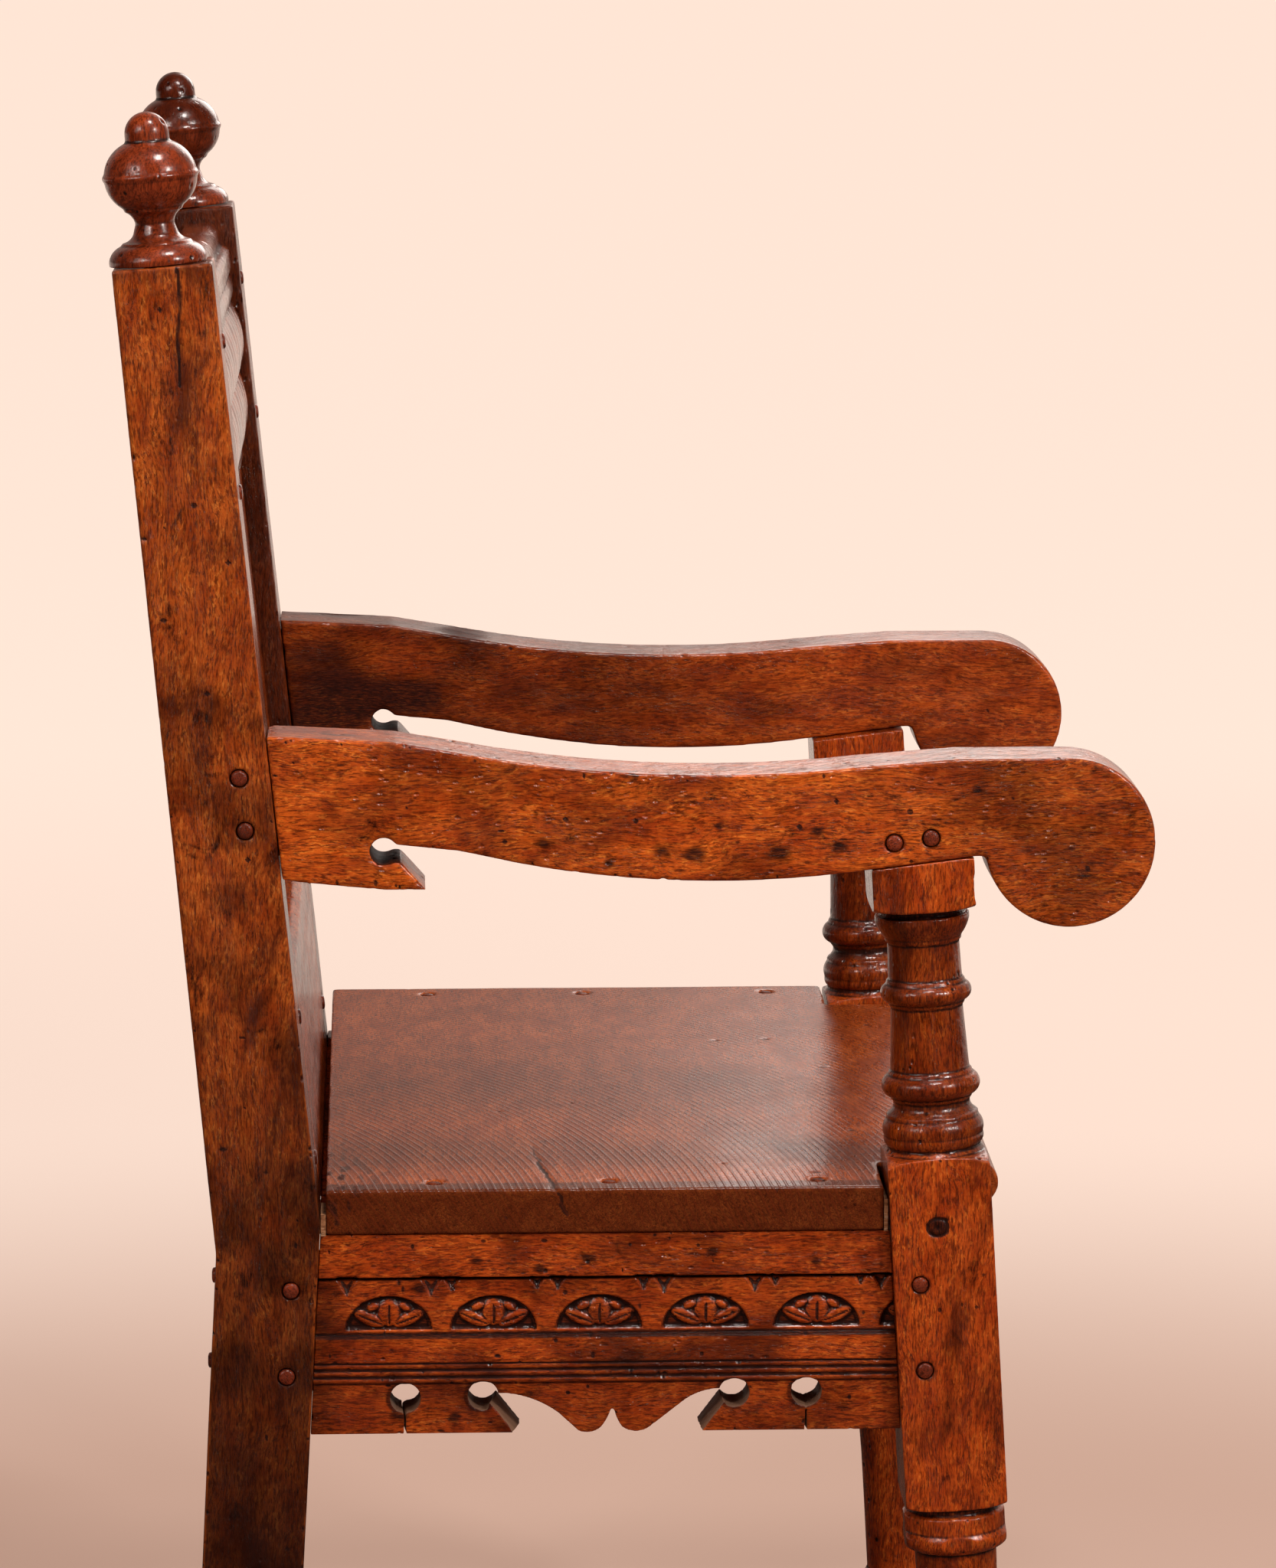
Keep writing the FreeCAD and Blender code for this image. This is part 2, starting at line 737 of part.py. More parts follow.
def front_post_turning(name):
    """The turned outline; where the radius is the block's, the square post keeps its corners."""
    block = s.block_radius
    pommel = s.pommel_radius
    drop = s.pommel_drop
    foot_top = floor_level + s.foot_block_height
    bottom = floor_level - s.overrun * 2
    top = s.arm_seat_level + s.front_post_depth / 2
    torus_bulge = s.base_torus_radius - s.flare_radius
    crease_radius = s.base_torus_radius - s.joint_clearance * 2
    leg_ring_top = foot_top + s.leg_ring_top
    shaft_waist = s.shaft_top + (leg_ring_top - s.shaft_top) * SHAFT_WAIST_SHARE
    ring_edge = s.column_foot_radius + s.fillet_step * 1.4
    leg_ring = ring_corners(foot_top + s.leg_ring_base, leg_ring_top, s.upper_ring_radius,
                            s.waist_radius, s.waist_radius, ring_edge)
    lower_ring = ring_corners(s.lower_ring_base, s.lower_ring_top, s.lower_ring_radius,
                              s.waist_radius, s.column_foot_radius, ring_edge)
    upper_ring = ring_corners(s.upper_ring_base, s.upper_ring_top, s.upper_ring_radius,
                              s.column_radius, s.neck_radius, s.column_foot_radius)
    return turning(name, (
        (0, bottom),
        (block, bottom),
        (block, foot_top - drop, drop / 4),
        (pommel, foot_top),
        (s.flare_radius, foot_top),
        (s.flare_radius, foot_top + s.leg_torus_base, torus_bulge),
        (s.flare_radius, foot_top + s.leg_torus_top),
        *leg_ring,
        (s.shaft_waist_radius, shaft_waist),
        (s.shaft_top_radius, s.shaft_top),
        (s.shaft_top_radius, s.collar_base),
        (s.shaft_top_radius + s.reed_sink, s.collar_base, s.reed_sink * 2),
        (s.collar_radius, (s.collar_base + s.collar_top) / 2),
        (s.collar_radius, s.collar_top - s.reed_sink),
        (s.collar_neck_radius, s.collar_top),
        (s.collar_neck_radius, s.seat_block_base),
        (pommel, s.seat_block_base, drop / 4),
        (block, s.seat_block_base + drop),
        (block, s.seat_block_top - drop, drop / 4),
        (pommel, s.seat_block_top),
        (s.flare_radius, s.flare_level, torus_bulge / 2),
        (crease_radius, s.base_crease, torus_bulge * 0.6),
        (s.flare_radius, s.base_torus_top),
        (s.flare_radius, s.base_torus_top + s.fillet_height, -torus_bulge / 4),
        (s.waist_radius, s.waist_level),
        *lower_ring,
        *upper_ring,
        (s.column_radius, s.cup_base - s.fillet_height),
        (s.column_radius + s.fillet_step, s.cup_base - s.fillet_height),
        (s.column_radius + s.fillet_step, s.cup_base, torus_bulge / 4),
        (s.cup_radius, s.cup_top - s.fillet_height * 1.5),
        (s.cup_radius, s.cup_top),
        (s.groove_radius, s.cup_top),
        (s.groove_radius, s.arm_block_base),
        (pommel, s.arm_block_base, drop / 4),
        (block, s.arm_block_base + drop),
        (block, top),
        (0, top),
    ))


def make_front_post(name, side, arm_blank, peg_holes):
    """A post squared from its turning and coped to the arm that rests on it."""
    low_x, high_x = span(side, front_inner, half)
    turned = front_post_turning(f"front_post_{name}_turning")
    stock = box(f"front_post_{name}_stock",
                (-s.front_post_width / 2, s.front_post_width / 2),
                (-s.front_post_depth / 2, s.front_post_depth / 2),
                (floor_level - s.overrun * 2, s.arm_seat_level + s.front_post_depth / 2))
    squared = doc.addObject("Part::Common", f"front_post_{name}_squared")
    squared.Base = turned
    squared.Tool = stock
    set_place(squared, side * (half - s.front_post_width / 2), ZERO, ZERO, front_frame)
    wide = (low_x - s.overrun, high_x + s.overrun)
    reach = (-s.front_post_depth * 2, s.front_post_depth * 2)
    above = box(f"front_post_{name}_top_cut", wide, reach, (ZERO, s.front_post_depth * 2), arm_seat_frame)
    above_post = doc.addObject("Part::MultiFuse", f"front_post_{name}_above")
    above_post.Shapes = [above, arm_blank]
    trimmed = doc.addObject("Part::Cut", f"front_post_{name}_trimmed")
    trimmed.Base = squared
    trimmed.Tool = above_post
    tenon = box(f"front_post_{name}_tenon", span(side, *arm_tenon), post_tenon_y,
                heights((s.arm_seat_level - s.tenon_shoulder, post_tenon_top)))
    blank = doc.addObject("Part::Fuse", f"front_post_{name}_blank")
    blank.Base = trimmed
    blank.Tool = tenon
    deep = (front_inner - s.overrun, front_inner + s.tenon_length)
    foot_y = front_axis(floor_level)
    cuts = [
        box(f"{name}_foot_cut", wide, (foot_y - s.front_post_depth, foot_y + s.front_post_depth),
            (-s.overrun * 4, ZERO)),
        mortise(f"{name}_front_side_rail_mortise", span(side, *side_tenon),
                (front_post_back(rail_top) - s.tenon_length, front_post_back(rail_top) + s.overrun),
                heights(rail_tenon)),
        mortise(f"{name}_front_stretcher_side_mortise", span(side, *side_stretcher_tenon),
                (front_post_back(stretcher_middle) - s.tenon_length,
                 front_post_back(stretcher_middle) + s.overrun), heights(stretcher_tenon)),
        mortise(f"{name}_front_rail_mortise", span(side, *deep), front_tenon_y, heights(rail_tenon)),
        mortise(f"{name}_front_stretcher_mortise", span(side, *deep), front_stretcher_y,
                heights(stretcher_tenon)),
    ]
    return finish(f"front_post_{name}", blank, cuts + peg_holes)


# Heights of the finial's turning as shares of its height, its radii as shares of the ring's
# and the rise of its arcs as shares of the bulb's radius
FINIAL_HEIGHT_SHARES = {"base": 0.035, "ring_low": 0.133, "ring_high": 0.148, "cove": 0.195, "neck": 0.268,
                        "collar_low": 0.353, "collar_high": 0.371, "bead_low": 0.557, "bead_high": 0.602,
                        "bulb_high": 0.803}
FINIAL_RADIUS_SHARES = {"cove": 0.66, "collar": 0.845}
FINIAL_ARC_SHARES = {"ovolo": 0.062, "cove": 0.036, "neck": 0.05, "bulb_low": 0.087, "bead": 0.042,
                     "bulb_high": 0.116}


def make_finial(name, side):
    """A turned knob with its dowel, standing on the raked top of a rear post."""
    ring = s.finial_ring_radius
    bulb = s.finial_bulb_radius
    tip = s.finial_tip_radius
    rise = {place: share * s.finial_height for place, share in FINIAL_HEIGHT_SHARES.items()}
    arc = {place: share * bulb for place, share in FINIAL_ARC_SHARES.items()}
    cove = FINIAL_RADIUS_SHARES["cove"] * ring
    collar = FINIAL_RADIUS_SHARES["collar"] * ring
    blank = turning(f"finial_{name}_body", (
        (0, -s.dowel_length),
        (s.dowel_radius, -s.dowel_length),
        (s.dowel_radius, 0),
        (s.finial_base_radius, 0),
        (s.finial_base_radius, rise["base"], arc["ovolo"]),
        (ring, rise["ring_low"]),
        (ring, rise["ring_high"], -arc["cove"]),
        (cove, rise["cove"]),
        (s.finial_neck_radius, rise["neck"], -arc["neck"]),
        (collar, rise["collar_low"]),
        (collar, rise["collar_high"], arc["bulb_low"]),
        (bulb, rise["bead_low"], arc["bead"]),
        (bulb, rise["bead_high"], arc["bulb_high"]),
        (tip, rise["bulb_high"]),
        (tip, s.finial_height - tip, tip * (1 - root(formula(0.5)))),
        (0, s.finial_height),
    ))
    set_place(blank, side * (half - s.rear_post_width / 2), ZERO, ZERO, finial_frame)
    return finish(f"finial_{name}", blank)


# Arms

def make_arm(name, side, peg_holes):
    scroll_reach = s.arm_reach - s.scroll_radius
    scroll_level = s.arm_top - s.scroll_radius
    notch_reach = scroll_reach - root(s.scroll_radius * s.scroll_radius - s.scroll_notch * s.scroll_notch)
    notch_level = scroll_level - s.scroll_notch
    slope = tangent(s.arm_seat_slope)
    seat_front_reach = s.arm_seat_reach + (notch_level - s.arm_seat_level) / slope
    full_bulge = s.scroll_radius * (1 - 0.70711)
    last_half = root((notch_reach - scroll_reach) * (notch_reach - scroll_reach)
                     + (notch_level - scroll_level + s.scroll_radius)
                     * (notch_level - scroll_level + s.scroll_radius)) / 2
    last_bulge = s.scroll_radius - root(s.scroll_radius * s.scroll_radius - last_half * last_half)
    rear_top_y = rear_face(s.arm_rear_top) - s.knee_y
    rear_base_y = rear_face(s.arm_rear_base) - s.knee_y
    top_shares = {"rear_flat": 0.09, "sag_start": 0.16, "sag_end": 0.65, "crest": 0.765}
    under_shares = {"belly_end": 0.236, "shoulder": 0.165}
    top = {place: share * s.arm_reach for place, share in top_shares.items()}
    under = {place: share * s.arm_reach for place, share in under_shares.items()}
    drop = s.arm_rear_top - s.arm_top
    slot_top = s.arm_hole_level + s.arm_hole_radius / 2
    slot_base = slot_top - s.arm_slot
    slot_reach = s.arm_hole_reach + s.arm_slot
    corners = (
        (rear_top_y, s.arm_rear_top),
        (-top["rear_flat"], s.arm_rear_top - drop * 0.24),
        (-top["sag_start"], s.arm_top + drop * 0.39, -s.arm_sag),
        (-top["sag_end"], s.arm_top - drop * 0.27),
        (-top["crest"], s.arm_top),
        (-scroll_reach, s.arm_top, full_bulge),
        (-s.arm_reach, scroll_level, full_bulge),
        (-scroll_reach, scroll_level - s.scroll_radius, last_bulge),
        (-notch_reach, notch_level),
        (-seat_front_reach, notch_level),
        (-s.arm_seat_reach, s.arm_seat_level, s.arm_belly),
        (-under["belly_end"], s.arm_seat_level + s.arm_belly * 0.6),
        (-under["shoulder"], s.arm_hole_level),
        (-s.arm_hole_reach - s.arm_hole_radius / 2, slot_top),
        (-s.arm_hole_reach - s.arm_hole_radius / 2, slot_base),
        (-slot_reach, slot_base),
        (-slot_reach - s.arm_slot_run, s.arm_bracket_base),
        (-s.arm_hole_reach, s.arm_bracket_base),
        (rear_base_y, s.arm_rear_base),
    )
    blank = board(f"arm_{name}_blank", "YZ_Plane", corners, s.arm_thickness)
    low_x, high_x = span(side, half - s.arm_thickness, half)
    set_place(blank, low_x, s.knee_y, s.seat_height)
    add_bore(blank, f"arm_{name}_hole", s.arm_hole_radius, -s.overrun, -s.arm_hole_reach, s.arm_hole_level,
             s.arm_thickness + s.overrun * 2)
    tenon_low = (s.arm_thickness - s.arm_tenon_thickness) / 2
    add_block(blank, "Additive", f"arm_{name}_tenon", (tenon_low, tenon_low + s.arm_tenon_thickness),
              (ZERO, arm_tenon_back - s.knee_y), arm_tenon_levels)
    hollow = mortise(f"arm_{name}_mortise", span(side, *arm_tenon), post_tenon_y,
                     heights((s.arm_seat_level - s.front_post_depth / 2, post_tenon_top)))
    finish(f"arm_{name}", blank, [hollow] + peg_holes)
    return blank


# Seat rails

# The pierced apron, cut by hand and so not quite even: corners from the left or rear end to the other.
# Each has its place as a share of the rail's length, its height as a share of the apron's and,
# where an arc follows, the arc's bulge as a share of the apron's height.
APRON_CORNER_SHARES = (
    (0.3561, 0), (0.3157, 0.60), (0.299, 0.52), (0.303, 0.79), (0.333, 0.79, -0.075), (0.4204, 0.38),
    (0.4527, 0.03, 0.07), (0.4918, 0.1, 0.035), (0.5113, 0.59, 0.035), (0.5265, 0.1, 0.1),
    (0.576, 0.11), (0.6346, 0.64, -0.05), (0.6929, 0.85), (0.711, 0.85), (0.711, 0.53), (0.6996, 0.64),
    (0.6573, 0),
)
# Its holes' centres; a kerf that widens downwards runs from the first and the last one.
APRON_HOLE_SHARES = ((0.1607, 0.71), (0.292, 0.75), (0.7171, 0.765), (0.8396, 0.77))


def apron_corners(start, length, base):
    """Corners of the apron's lower edge from one end of its length to the other, and its holes' centres."""
    height = s.apron_height
    holes = [(start + share * length, base + up * height) for share, up in APRON_HOLE_SHARES]
    wide = s.kerf_width / 2
    tip = s.kerf_tip_width / 2
    kerfs = [[(x - wide, base), (x - tip, z), (x + tip, z), (x + wide, base)]
             for x, z in (holes[0], holes[-1])]
    middle = []
    for corner in APRON_CORNER_SHARES:
        middle.append((start + corner[0] * length, base + corner[1] * height)
                      + tuple(bulge * height for bulge in corner[2:]))
    return [(start, base)] + kerfs[0] + middle + kerfs[1] + [(start + length, base)], holes


def mirrored(corners):
    """The same outline turned end for end, drawn the same way round."""
    turned = []
    for number in range(len(corners) - 1, -1, -1):
        bulge = corners[number - 1][2:] if number else ()
        turned.append((-formula(corners[number][0]), corners[number][1]) + bulge)
    return turned


def rail_bands():
    """Levels and depths of the sunk bands on the show face: carved band, reeds' quirks and apron."""
    band_top = rail_top - s.fascia_height
    band_base = band_top - s.band_height
    flat_base = band_base - s.flat_height
    bands = [(band_base, band_top, s.band_sink)]
    for number in range(3):
        quirk = flat_base - s.reed_height * number
        bands.append((quirk - s.reed_sink / 2, quirk, s.reed_sink))
    bands.append((rail_base - s.overrun, rail_base + s.apron_height, s.apron_sink))
    return bands


def make_side_rail(name, side, peg_holes):
    low_x, high_x = span(side, half - s.rail_recess - s.rail_thickness, half - s.rail_recess)
    top = rail_top + seat_rise(low_x)
    front_top = front_post_back(top) - s.knee_y
    back_top = rear_face(top) - s.knee_y
    front_base = front_post_back(rail_base) - s.knee_y
    back_base = rear_face(rail_base) - s.knee_y
    lower, holes = apron_corners(-back_base, back_base - front_base, rail_base)
    holes = [(-y, z) for y, z in holes]
    corners = mirrored(lower) + [(back_top, top), (front_top, top)]
    blank = board(f"side_rail_{name}_blank", "YZ_Plane", corners, s.rail_thickness)
    set_place(blank, low_x, s.knee_y, s.seat_height)
    tenon_low = (s.rail_thickness - s.tenon_thickness) / 2
    front_end = front_post_back(rail_top) - s.knee_y - s.tenon_length
    back_end = rear_face(rail_top) - s.knee_y + s.tenon_length
    add_block(blank, "Additive", f"side_rail_{name}_tenon", (tenon_low, tenon_low + s.tenon_thickness),
              (front_end, back_end), rail_tenon)
    for number, (y, z) in enumerate(holes):
        add_bore(blank, f"side_rail_{name}_hole_{number}", s.apron_hole_radius, -s.overrun, y, z,
                 s.rail_thickness + s.overrun * 2)
    for number, (low, high, depth) in enumerate(rail_bands()):
        if side == RIGHT:
            x = (-s.overrun, depth)
        else:
            x = (s.rail_thickness - depth, s.rail_thickness + s.overrun)
        add_block(blank, "Subtractive", f"side_rail_{name}_band_{number}", x,
                  (front_base - s.overrun, back_base + s.overrun), (low, high))
    return finish(f"side_rail_{name}", blank, peg_holes)


def make_front_rail(peg_holes):
    lower, holes = apron_corners(-front_inner, front_inner * 2, rail_base)
    corners = lower + [(front_inner, rail_top + seat_rise(front_inner)),
                       (-front_inner, rail_top + seat_rise(-front_inner))]
    blank = board("front_rail_blank", "XZ_Plane", corners, s.rail_thickness)
    set_place(blank, ZERO, front_rail_front + s.rail_thickness, s.seat_height)
    bores = [cylinder(f"front_rail_hole_{number}", s.apron_hole_radius, s.rail_thickness + s.overrun * 2,
                      (x, front_rail_front - s.overrun, z + s.seat_height), "Y")
             for number, (x, z) in enumerate(holes)]
    for number, (low, high, depth) in enumerate(rail_bands()):
        add_block(blank, "Subtractive", f"front_rail_band_{number}",
                  (-front_inner - s.overrun, front_inner + s.overrun),
                  (-s.rail_thickness - s.overrun, depth - s.rail_thickness), (low, high))
    tenon_far = -(s.rail_thickness - s.tenon_thickness) / 2
    add_block(blank, "Additive", "front_rail_tenon",
              (-front_inner - s.tenon_length, front_inner + s.tenon_length),
              (tenon_far - s.tenon_thickness, tenon_far), rail_tenon)
    return finish("front_rail", blank, bores + peg_holes)


def make_back_seat_rail(peg_holes):
    blank = board("back_seat_rail_blank", "XZ_Plane", (
        (-rear_inner, rail_base), (rear_inner, rail_base), (rear_inner, rail_top), (-rear_inner, rail_top),
    ), s.back_rail_thickness)
    set_place(blank, ZERO, back_rail_front + s.back_rail_thickness, s.seat_height)
    tenon_far = -(s.back_rail_thickness - s.tenon_thickness) / 2
    add_block(blank, "Additive", "back_seat_rail_tenon",
              (-rear_inner - s.tenon_length, rear_inner + s.tenon_length),
              (tenon_far - s.tenon_thickness, tenon_far), rail_tenon)
    return finish("back_seat_rail", blank, peg_holes)


# Seat

PIN_SHARES = (0.2, 0.51, 0.88)


def make_seat_pins():
    pins = Pegs()
    front = front_post_back(ZERO)
    length = s.knee_y - front
    for name, side in SIDES:
        for number, share in enumerate(PIN_SHARES):
            x = side * (half - s.pin_inset)
            start = (x, s.knee_y - share * length, s.seat_height + seat_rise(x) - s.pin_length)
            pins.solids.append(cylinder(f"seat_pin_{name}_{number}", s.pin_radius, s.pin_length, start, "Z"))
            pins.holes.append(cylinder(f"seat_pin_{name}_{number}_hole", s.pin_radius + s.peg_clearance,
                                       s.pin_length + s.overrun, start, "Z"))
    group("seat_pins", pins.solids)
    return pins.holes


def make_seat_board(pin_holes):
    """A board with a rounded nosing between the front posts and an ear beside each of them."""
    back = -s.seat_back_gap
    front = front_post_front(ZERO) - s.knee_y - s.nosing
    round_end = s.seat_thickness / 2
    inner = front_inner - s.seat_front_gap
    blank = board("seat_board_blank", "YZ_Plane", (
        (front + round_end, -s.seat_thickness),
        (back, -s.seat_thickness),
        (back, 0),
        (front + round_end, 0, round_end * 0.9999),
    ), inner * 2)
    ear = half - s.seat_recess
    blank.Placement = FreeCAD.Placement(
        FreeCAD.Vector(), FreeCAD.Rotation(FreeCAD.Vector(0, -1, 0), s.seat_tilt.number))
    bind(blank, "Placement.Rotation.Angle", s.seat_tilt)
    bind(blank, "Placement.Base.x", (ear - inner) * cosine(s.seat_tilt) - ear)
    bind(blank, "Placement.Base.y", s.knee_y)
    bind(blank, "Placement.Base.z", s.seat_height + (ear - inner) * sine(s.seat_tilt))
    ear_front = front_post_back(ZERO) - s.knee_y + s.seat_front_gap
    add_block(blank, "Additive", "seat_board_ears", (inner - ear, inner + ear),
              (ear_front, back), (-s.seat_thickness, ZERO))
    return finish("seat_board", blank, pin_holes)


def make_seat_wedges():
    """Slivers driven beside the seat board's right end, one at each post."""
    x = (-half + s.seat_recess, -half + s.seat_recess + s.wedge_length)
    low = s.seat_height + rail_top
    rear = box("seat_wedge_rear", x, (s.knee_y - s.seat_back_gap, s.knee_y), (low, low + s.wedge_height))
    ear_front = front_post_back(ZERO) + s.seat_front_gap
    front = box("seat_wedge_front", x, (ear_front - s.seat_front_gap, ear_front),
                (low, low + s.wedge_height * 1.5))
    group("seat_wedges", [rear, front])


# Back

def crest_outline():
    """The crest rail's section: three rounded bands below two quarter-round steps."""
    top = s.crest_height
    deep = s.crest_thickness
    section_shares = (
        # depth, height, bulge to the next corner
        (1.06, 0.0, None),
        (1.06, 1.0, None),
        (0.6, 1.0, 0.05),
        (0.36, 0.955, None),
        (0.36, 0.905, 0.04),
        (0.17, 0.87, None),
        (0.17, 0.8, None),
        (0.27, 0.785, 0.095),
        (0.27, 0.665, 0.185),
        (0.24, 0.367, 0.15),
        (0.33, 0.07, None),
        (0.36, 0.0, None),
    )
    corners = []
    for depth, height, bulge in section_shares:
        corner = (depth * deep, height * top)
        corners.append(corner if bulge is None else corner + (bulge * deep,))
    return corners


def make_back(peg_holes):
    crest = board("crest_rail_blank", "YZ_Plane", crest_outline(), rear_inner * 2)
    set_place(crest, -rear_inner, ZERO, s.crest_base, back_frame)
    add_block(crest, "Additive", "crest_rail_tenon", (-s.tenon_length, rear_inner * 2 + s.tenon_length),
              crest_tenon_u, tuple(v - s.crest_base for v in crest_tenon_v))
    crest_groove = mortise("crest_groove", (-rear_inner, rear_inner), groove_u,
                           (s.crest_base - s.overrun, s.crest_base + s.groove_depth), back_frame)
    finish("crest_rail", crest, [crest_groove] + peg_holes)

    edge = s.lower_rail_chamfer
    lower = board("lower_back_rail_blank", "YZ_Plane", (
        (0, 0),
        (s.lower_rail_thickness, 0),
        (s.lower_rail_thickness, s.lower_rail_height),
        (edge, s.lower_rail_height),
        (0, s.lower_rail_height - edge),
    ), rear_inner * 2)
    set_place(lower, -rear_inner, ZERO, s.lower_rail_base, back_frame)
    add_block(lower, "Additive", "lower_back_rail_tenon", (-s.tenon_length, rear_inner * 2 + s.tenon_length),
              crest_tenon_u, tuple(v - s.lower_rail_base for v in lower_tenon_v))
    lower_groove = mortise("lower_rail_groove", (-rear_inner, rear_inner), groove_u,
                           (lower_rail_top - s.groove_depth, lower_rail_top + s.overrun), back_frame)
    finish("lower_back_rail", lower, [lower_groove] + peg_holes)

    height = s.crest_base - lower_rail_top
    panel = board("back_panel", "YZ_Plane", (
        (s.panel_setback, 0),
        (s.panel_setback + s.panel_thickness, 0),
        (s.panel_setback + s.panel_thickness, height),
        (s.panel_setback, height),
    ), rear_inner * 2)
    set_place(panel, -rear_inner, ZERO, lower_rail_top, back_frame)
    add_block(panel, "Additive", "back_panel_tongue",
              (-s.groove_depth + s.joint_clearance, rear_inner * 2 + s.groove_depth - s.joint_clearance),
              groove_u, (-s.groove_depth + s.joint_clearance, height + s.groove_depth - s.joint_clearance))
    finish("back_panel", panel)


# Stretchers

def make_stretchers(peg_holes):
    low, high = stretcher_levels
    for name, side in SIDES:
        blank = board(f"stretcher_{name}_blank", "YZ_Plane", (
            (front_post_back(low) - s.knee_y, low),
            (rear_face(low) - s.knee_y, low),
            (rear_face(high) - s.knee_y, high),
            (front_post_back(high) - s.knee_y, high),
        ), s.stretcher_thickness)
        low_x, high_x = span(side, half - s.stretcher_recess - s.stretcher_thickness,
                             half - s.stretcher_recess)
        set_place(blank, low_x, s.knee_y, s.seat_height)
        tenon_low = (s.stretcher_thickness - s.tenon_thickness) / 2
        ends = (front_post_back(stretcher_middle) - s.knee_y - s.tenon_length,
                rear_face(stretcher_middle) - s.knee_y + s.tenon_length)
        add_block(blank, "Additive", f"stretcher_{name}_tenon",
                  (tenon_low, tenon_low + s.tenon_thickness), ends, stretcher_tenon)
        finish(f"stretcher_{name}", blank, peg_holes)
    cross = (("front", front_inner, front_stretcher_front), ("back", rear_inner, back_stretcher_front))
    for name, inner, front in cross:
        blank = board(f"stretcher_{name}_blank", "XZ_Plane", (
            (-inner, low), (inner, low), (inner, high), (-inner, high),
        ), s.stretcher_thickness)
        set_place(blank, ZERO, front + s.stretcher_thickness, s.seat_height)
        tenon_far = -(s.stretcher_thickness - s.tenon_thickness) / 2
        add_block(blank, "Additive", f"stretcher_{name}_tenon",
                  (-inner - s.tenon_length, inner + s.tenon_length),
                  (tenon_far - s.tenon_thickness, tenon_far), stretcher_tenon)
        finish(f"stretcher_{name}", blank, peg_holes)


def main():
    arm_holes = {name: make_arm_pegs(name, side) for name, side in SIDES}
    rail_holes = {name: make_rail_pegs(name, side) for name, side in SIDES}
    front_holes = make_front_rail_pegs()
    back_holes = make_back_frame_pegs()
    stretcher_holes = make_stretcher_pegs()
    pin_holes = make_seat_pins()
    for name, side in SIDES:
        arm_blank = make_arm(name, side, arm_holes[name])
        make_rear_post(name, side, arm_holes[name] + rail_holes[name] + back_holes + stretcher_holes)
        make_front_post(name, side, arm_blank,
                        arm_holes[name] + rail_holes[name] + front_holes + stretcher_holes)
        make_finial(name, side)
        make_side_rail(name, side, rail_holes[name] + pin_holes)
    make_front_rail(front_holes)
    make_back_seat_rail(back_holes)
    make_seat_board(pin_holes)
    make_seat_wedges()
    make_back(back_holes)
    make_stretchers(stretcher_holes)
    doc.recompute()


def check():
    """Stop if an object failed or a piece is not a valid shape."""
    for item in doc.Objects:
        for state in ("Invalid", "Error"):
            if state in item.State:
                raise RuntimeError(f"{item.Name} is {state}")
    for piece in nodes:
        if piece.Shape.isNull() or not piece.Shape.isValid():
            raise RuntimeError(f"{piece.Label} has no valid shape")


def export():
    os.makedirs("parts", exist_ok=True)
    for piece in nodes:
        piece.Shape.exportStep(f"parts/{piece.Label}.step")


main()
check()
export()
whole = FreeCAD.BoundBox()
for piece in nodes:
    whole.add(piece.Shape.BoundBox)
    print(piece.Label, len(piece.Shape.Solids), "solids", round(piece.Shape.Volume), "mm3")
print("nodes", len(nodes), "box", whole)
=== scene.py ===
import itertools
import math

import bpy
import bmesh
import numpy as np
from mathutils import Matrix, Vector


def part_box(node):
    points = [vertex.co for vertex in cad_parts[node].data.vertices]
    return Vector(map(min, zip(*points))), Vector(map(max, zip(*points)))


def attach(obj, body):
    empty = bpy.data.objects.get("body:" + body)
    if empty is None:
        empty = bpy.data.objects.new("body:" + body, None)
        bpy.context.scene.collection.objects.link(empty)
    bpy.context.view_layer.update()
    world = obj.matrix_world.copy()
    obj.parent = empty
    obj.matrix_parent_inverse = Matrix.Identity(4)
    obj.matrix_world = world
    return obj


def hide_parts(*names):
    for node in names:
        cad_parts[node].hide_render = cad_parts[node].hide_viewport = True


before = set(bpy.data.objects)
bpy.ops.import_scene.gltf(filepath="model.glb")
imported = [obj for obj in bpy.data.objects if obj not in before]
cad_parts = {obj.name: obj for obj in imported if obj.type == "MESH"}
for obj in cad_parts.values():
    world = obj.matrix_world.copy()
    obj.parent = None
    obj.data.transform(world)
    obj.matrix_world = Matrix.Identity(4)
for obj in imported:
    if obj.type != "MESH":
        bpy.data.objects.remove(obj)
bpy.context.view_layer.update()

# A joined oak armchair. Everything is in metres in the CAD frame: +Z up, the chair faces -Y,
# and the sitter's right, the near side, is -X. Marks and carving are placed in millimetres by their
# reach, which is how far forward of the rear posts' knee they are, and their height above the seat level.

MM = 0.001
ARM_TOP_ABOVE_SEAT = 0.2777
KNEE_BEHIND_RAIL_FACE = 0.0244
SEAT_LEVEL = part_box("arm_right")[1].z - ARM_TOP_ABOVE_SEAT
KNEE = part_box("back_seat_rail")[0].y - KNEE_BEHIND_RAIL_FACE
COARSE = 1.0


# Noise and smoothing on points

# Large odd numbers that scatter the corners of the noise's grid
SCATTER = (73856093, 19349663, 83492791)
SCATTER_SEED = 2654435761
SCATTER_MIX = 1274126177
WORD = 0xFFFFFFFF
HALF_WORD = 0xFFFF
# How much of its place a point keeps in a round of smoothing
HOLD = 0.3


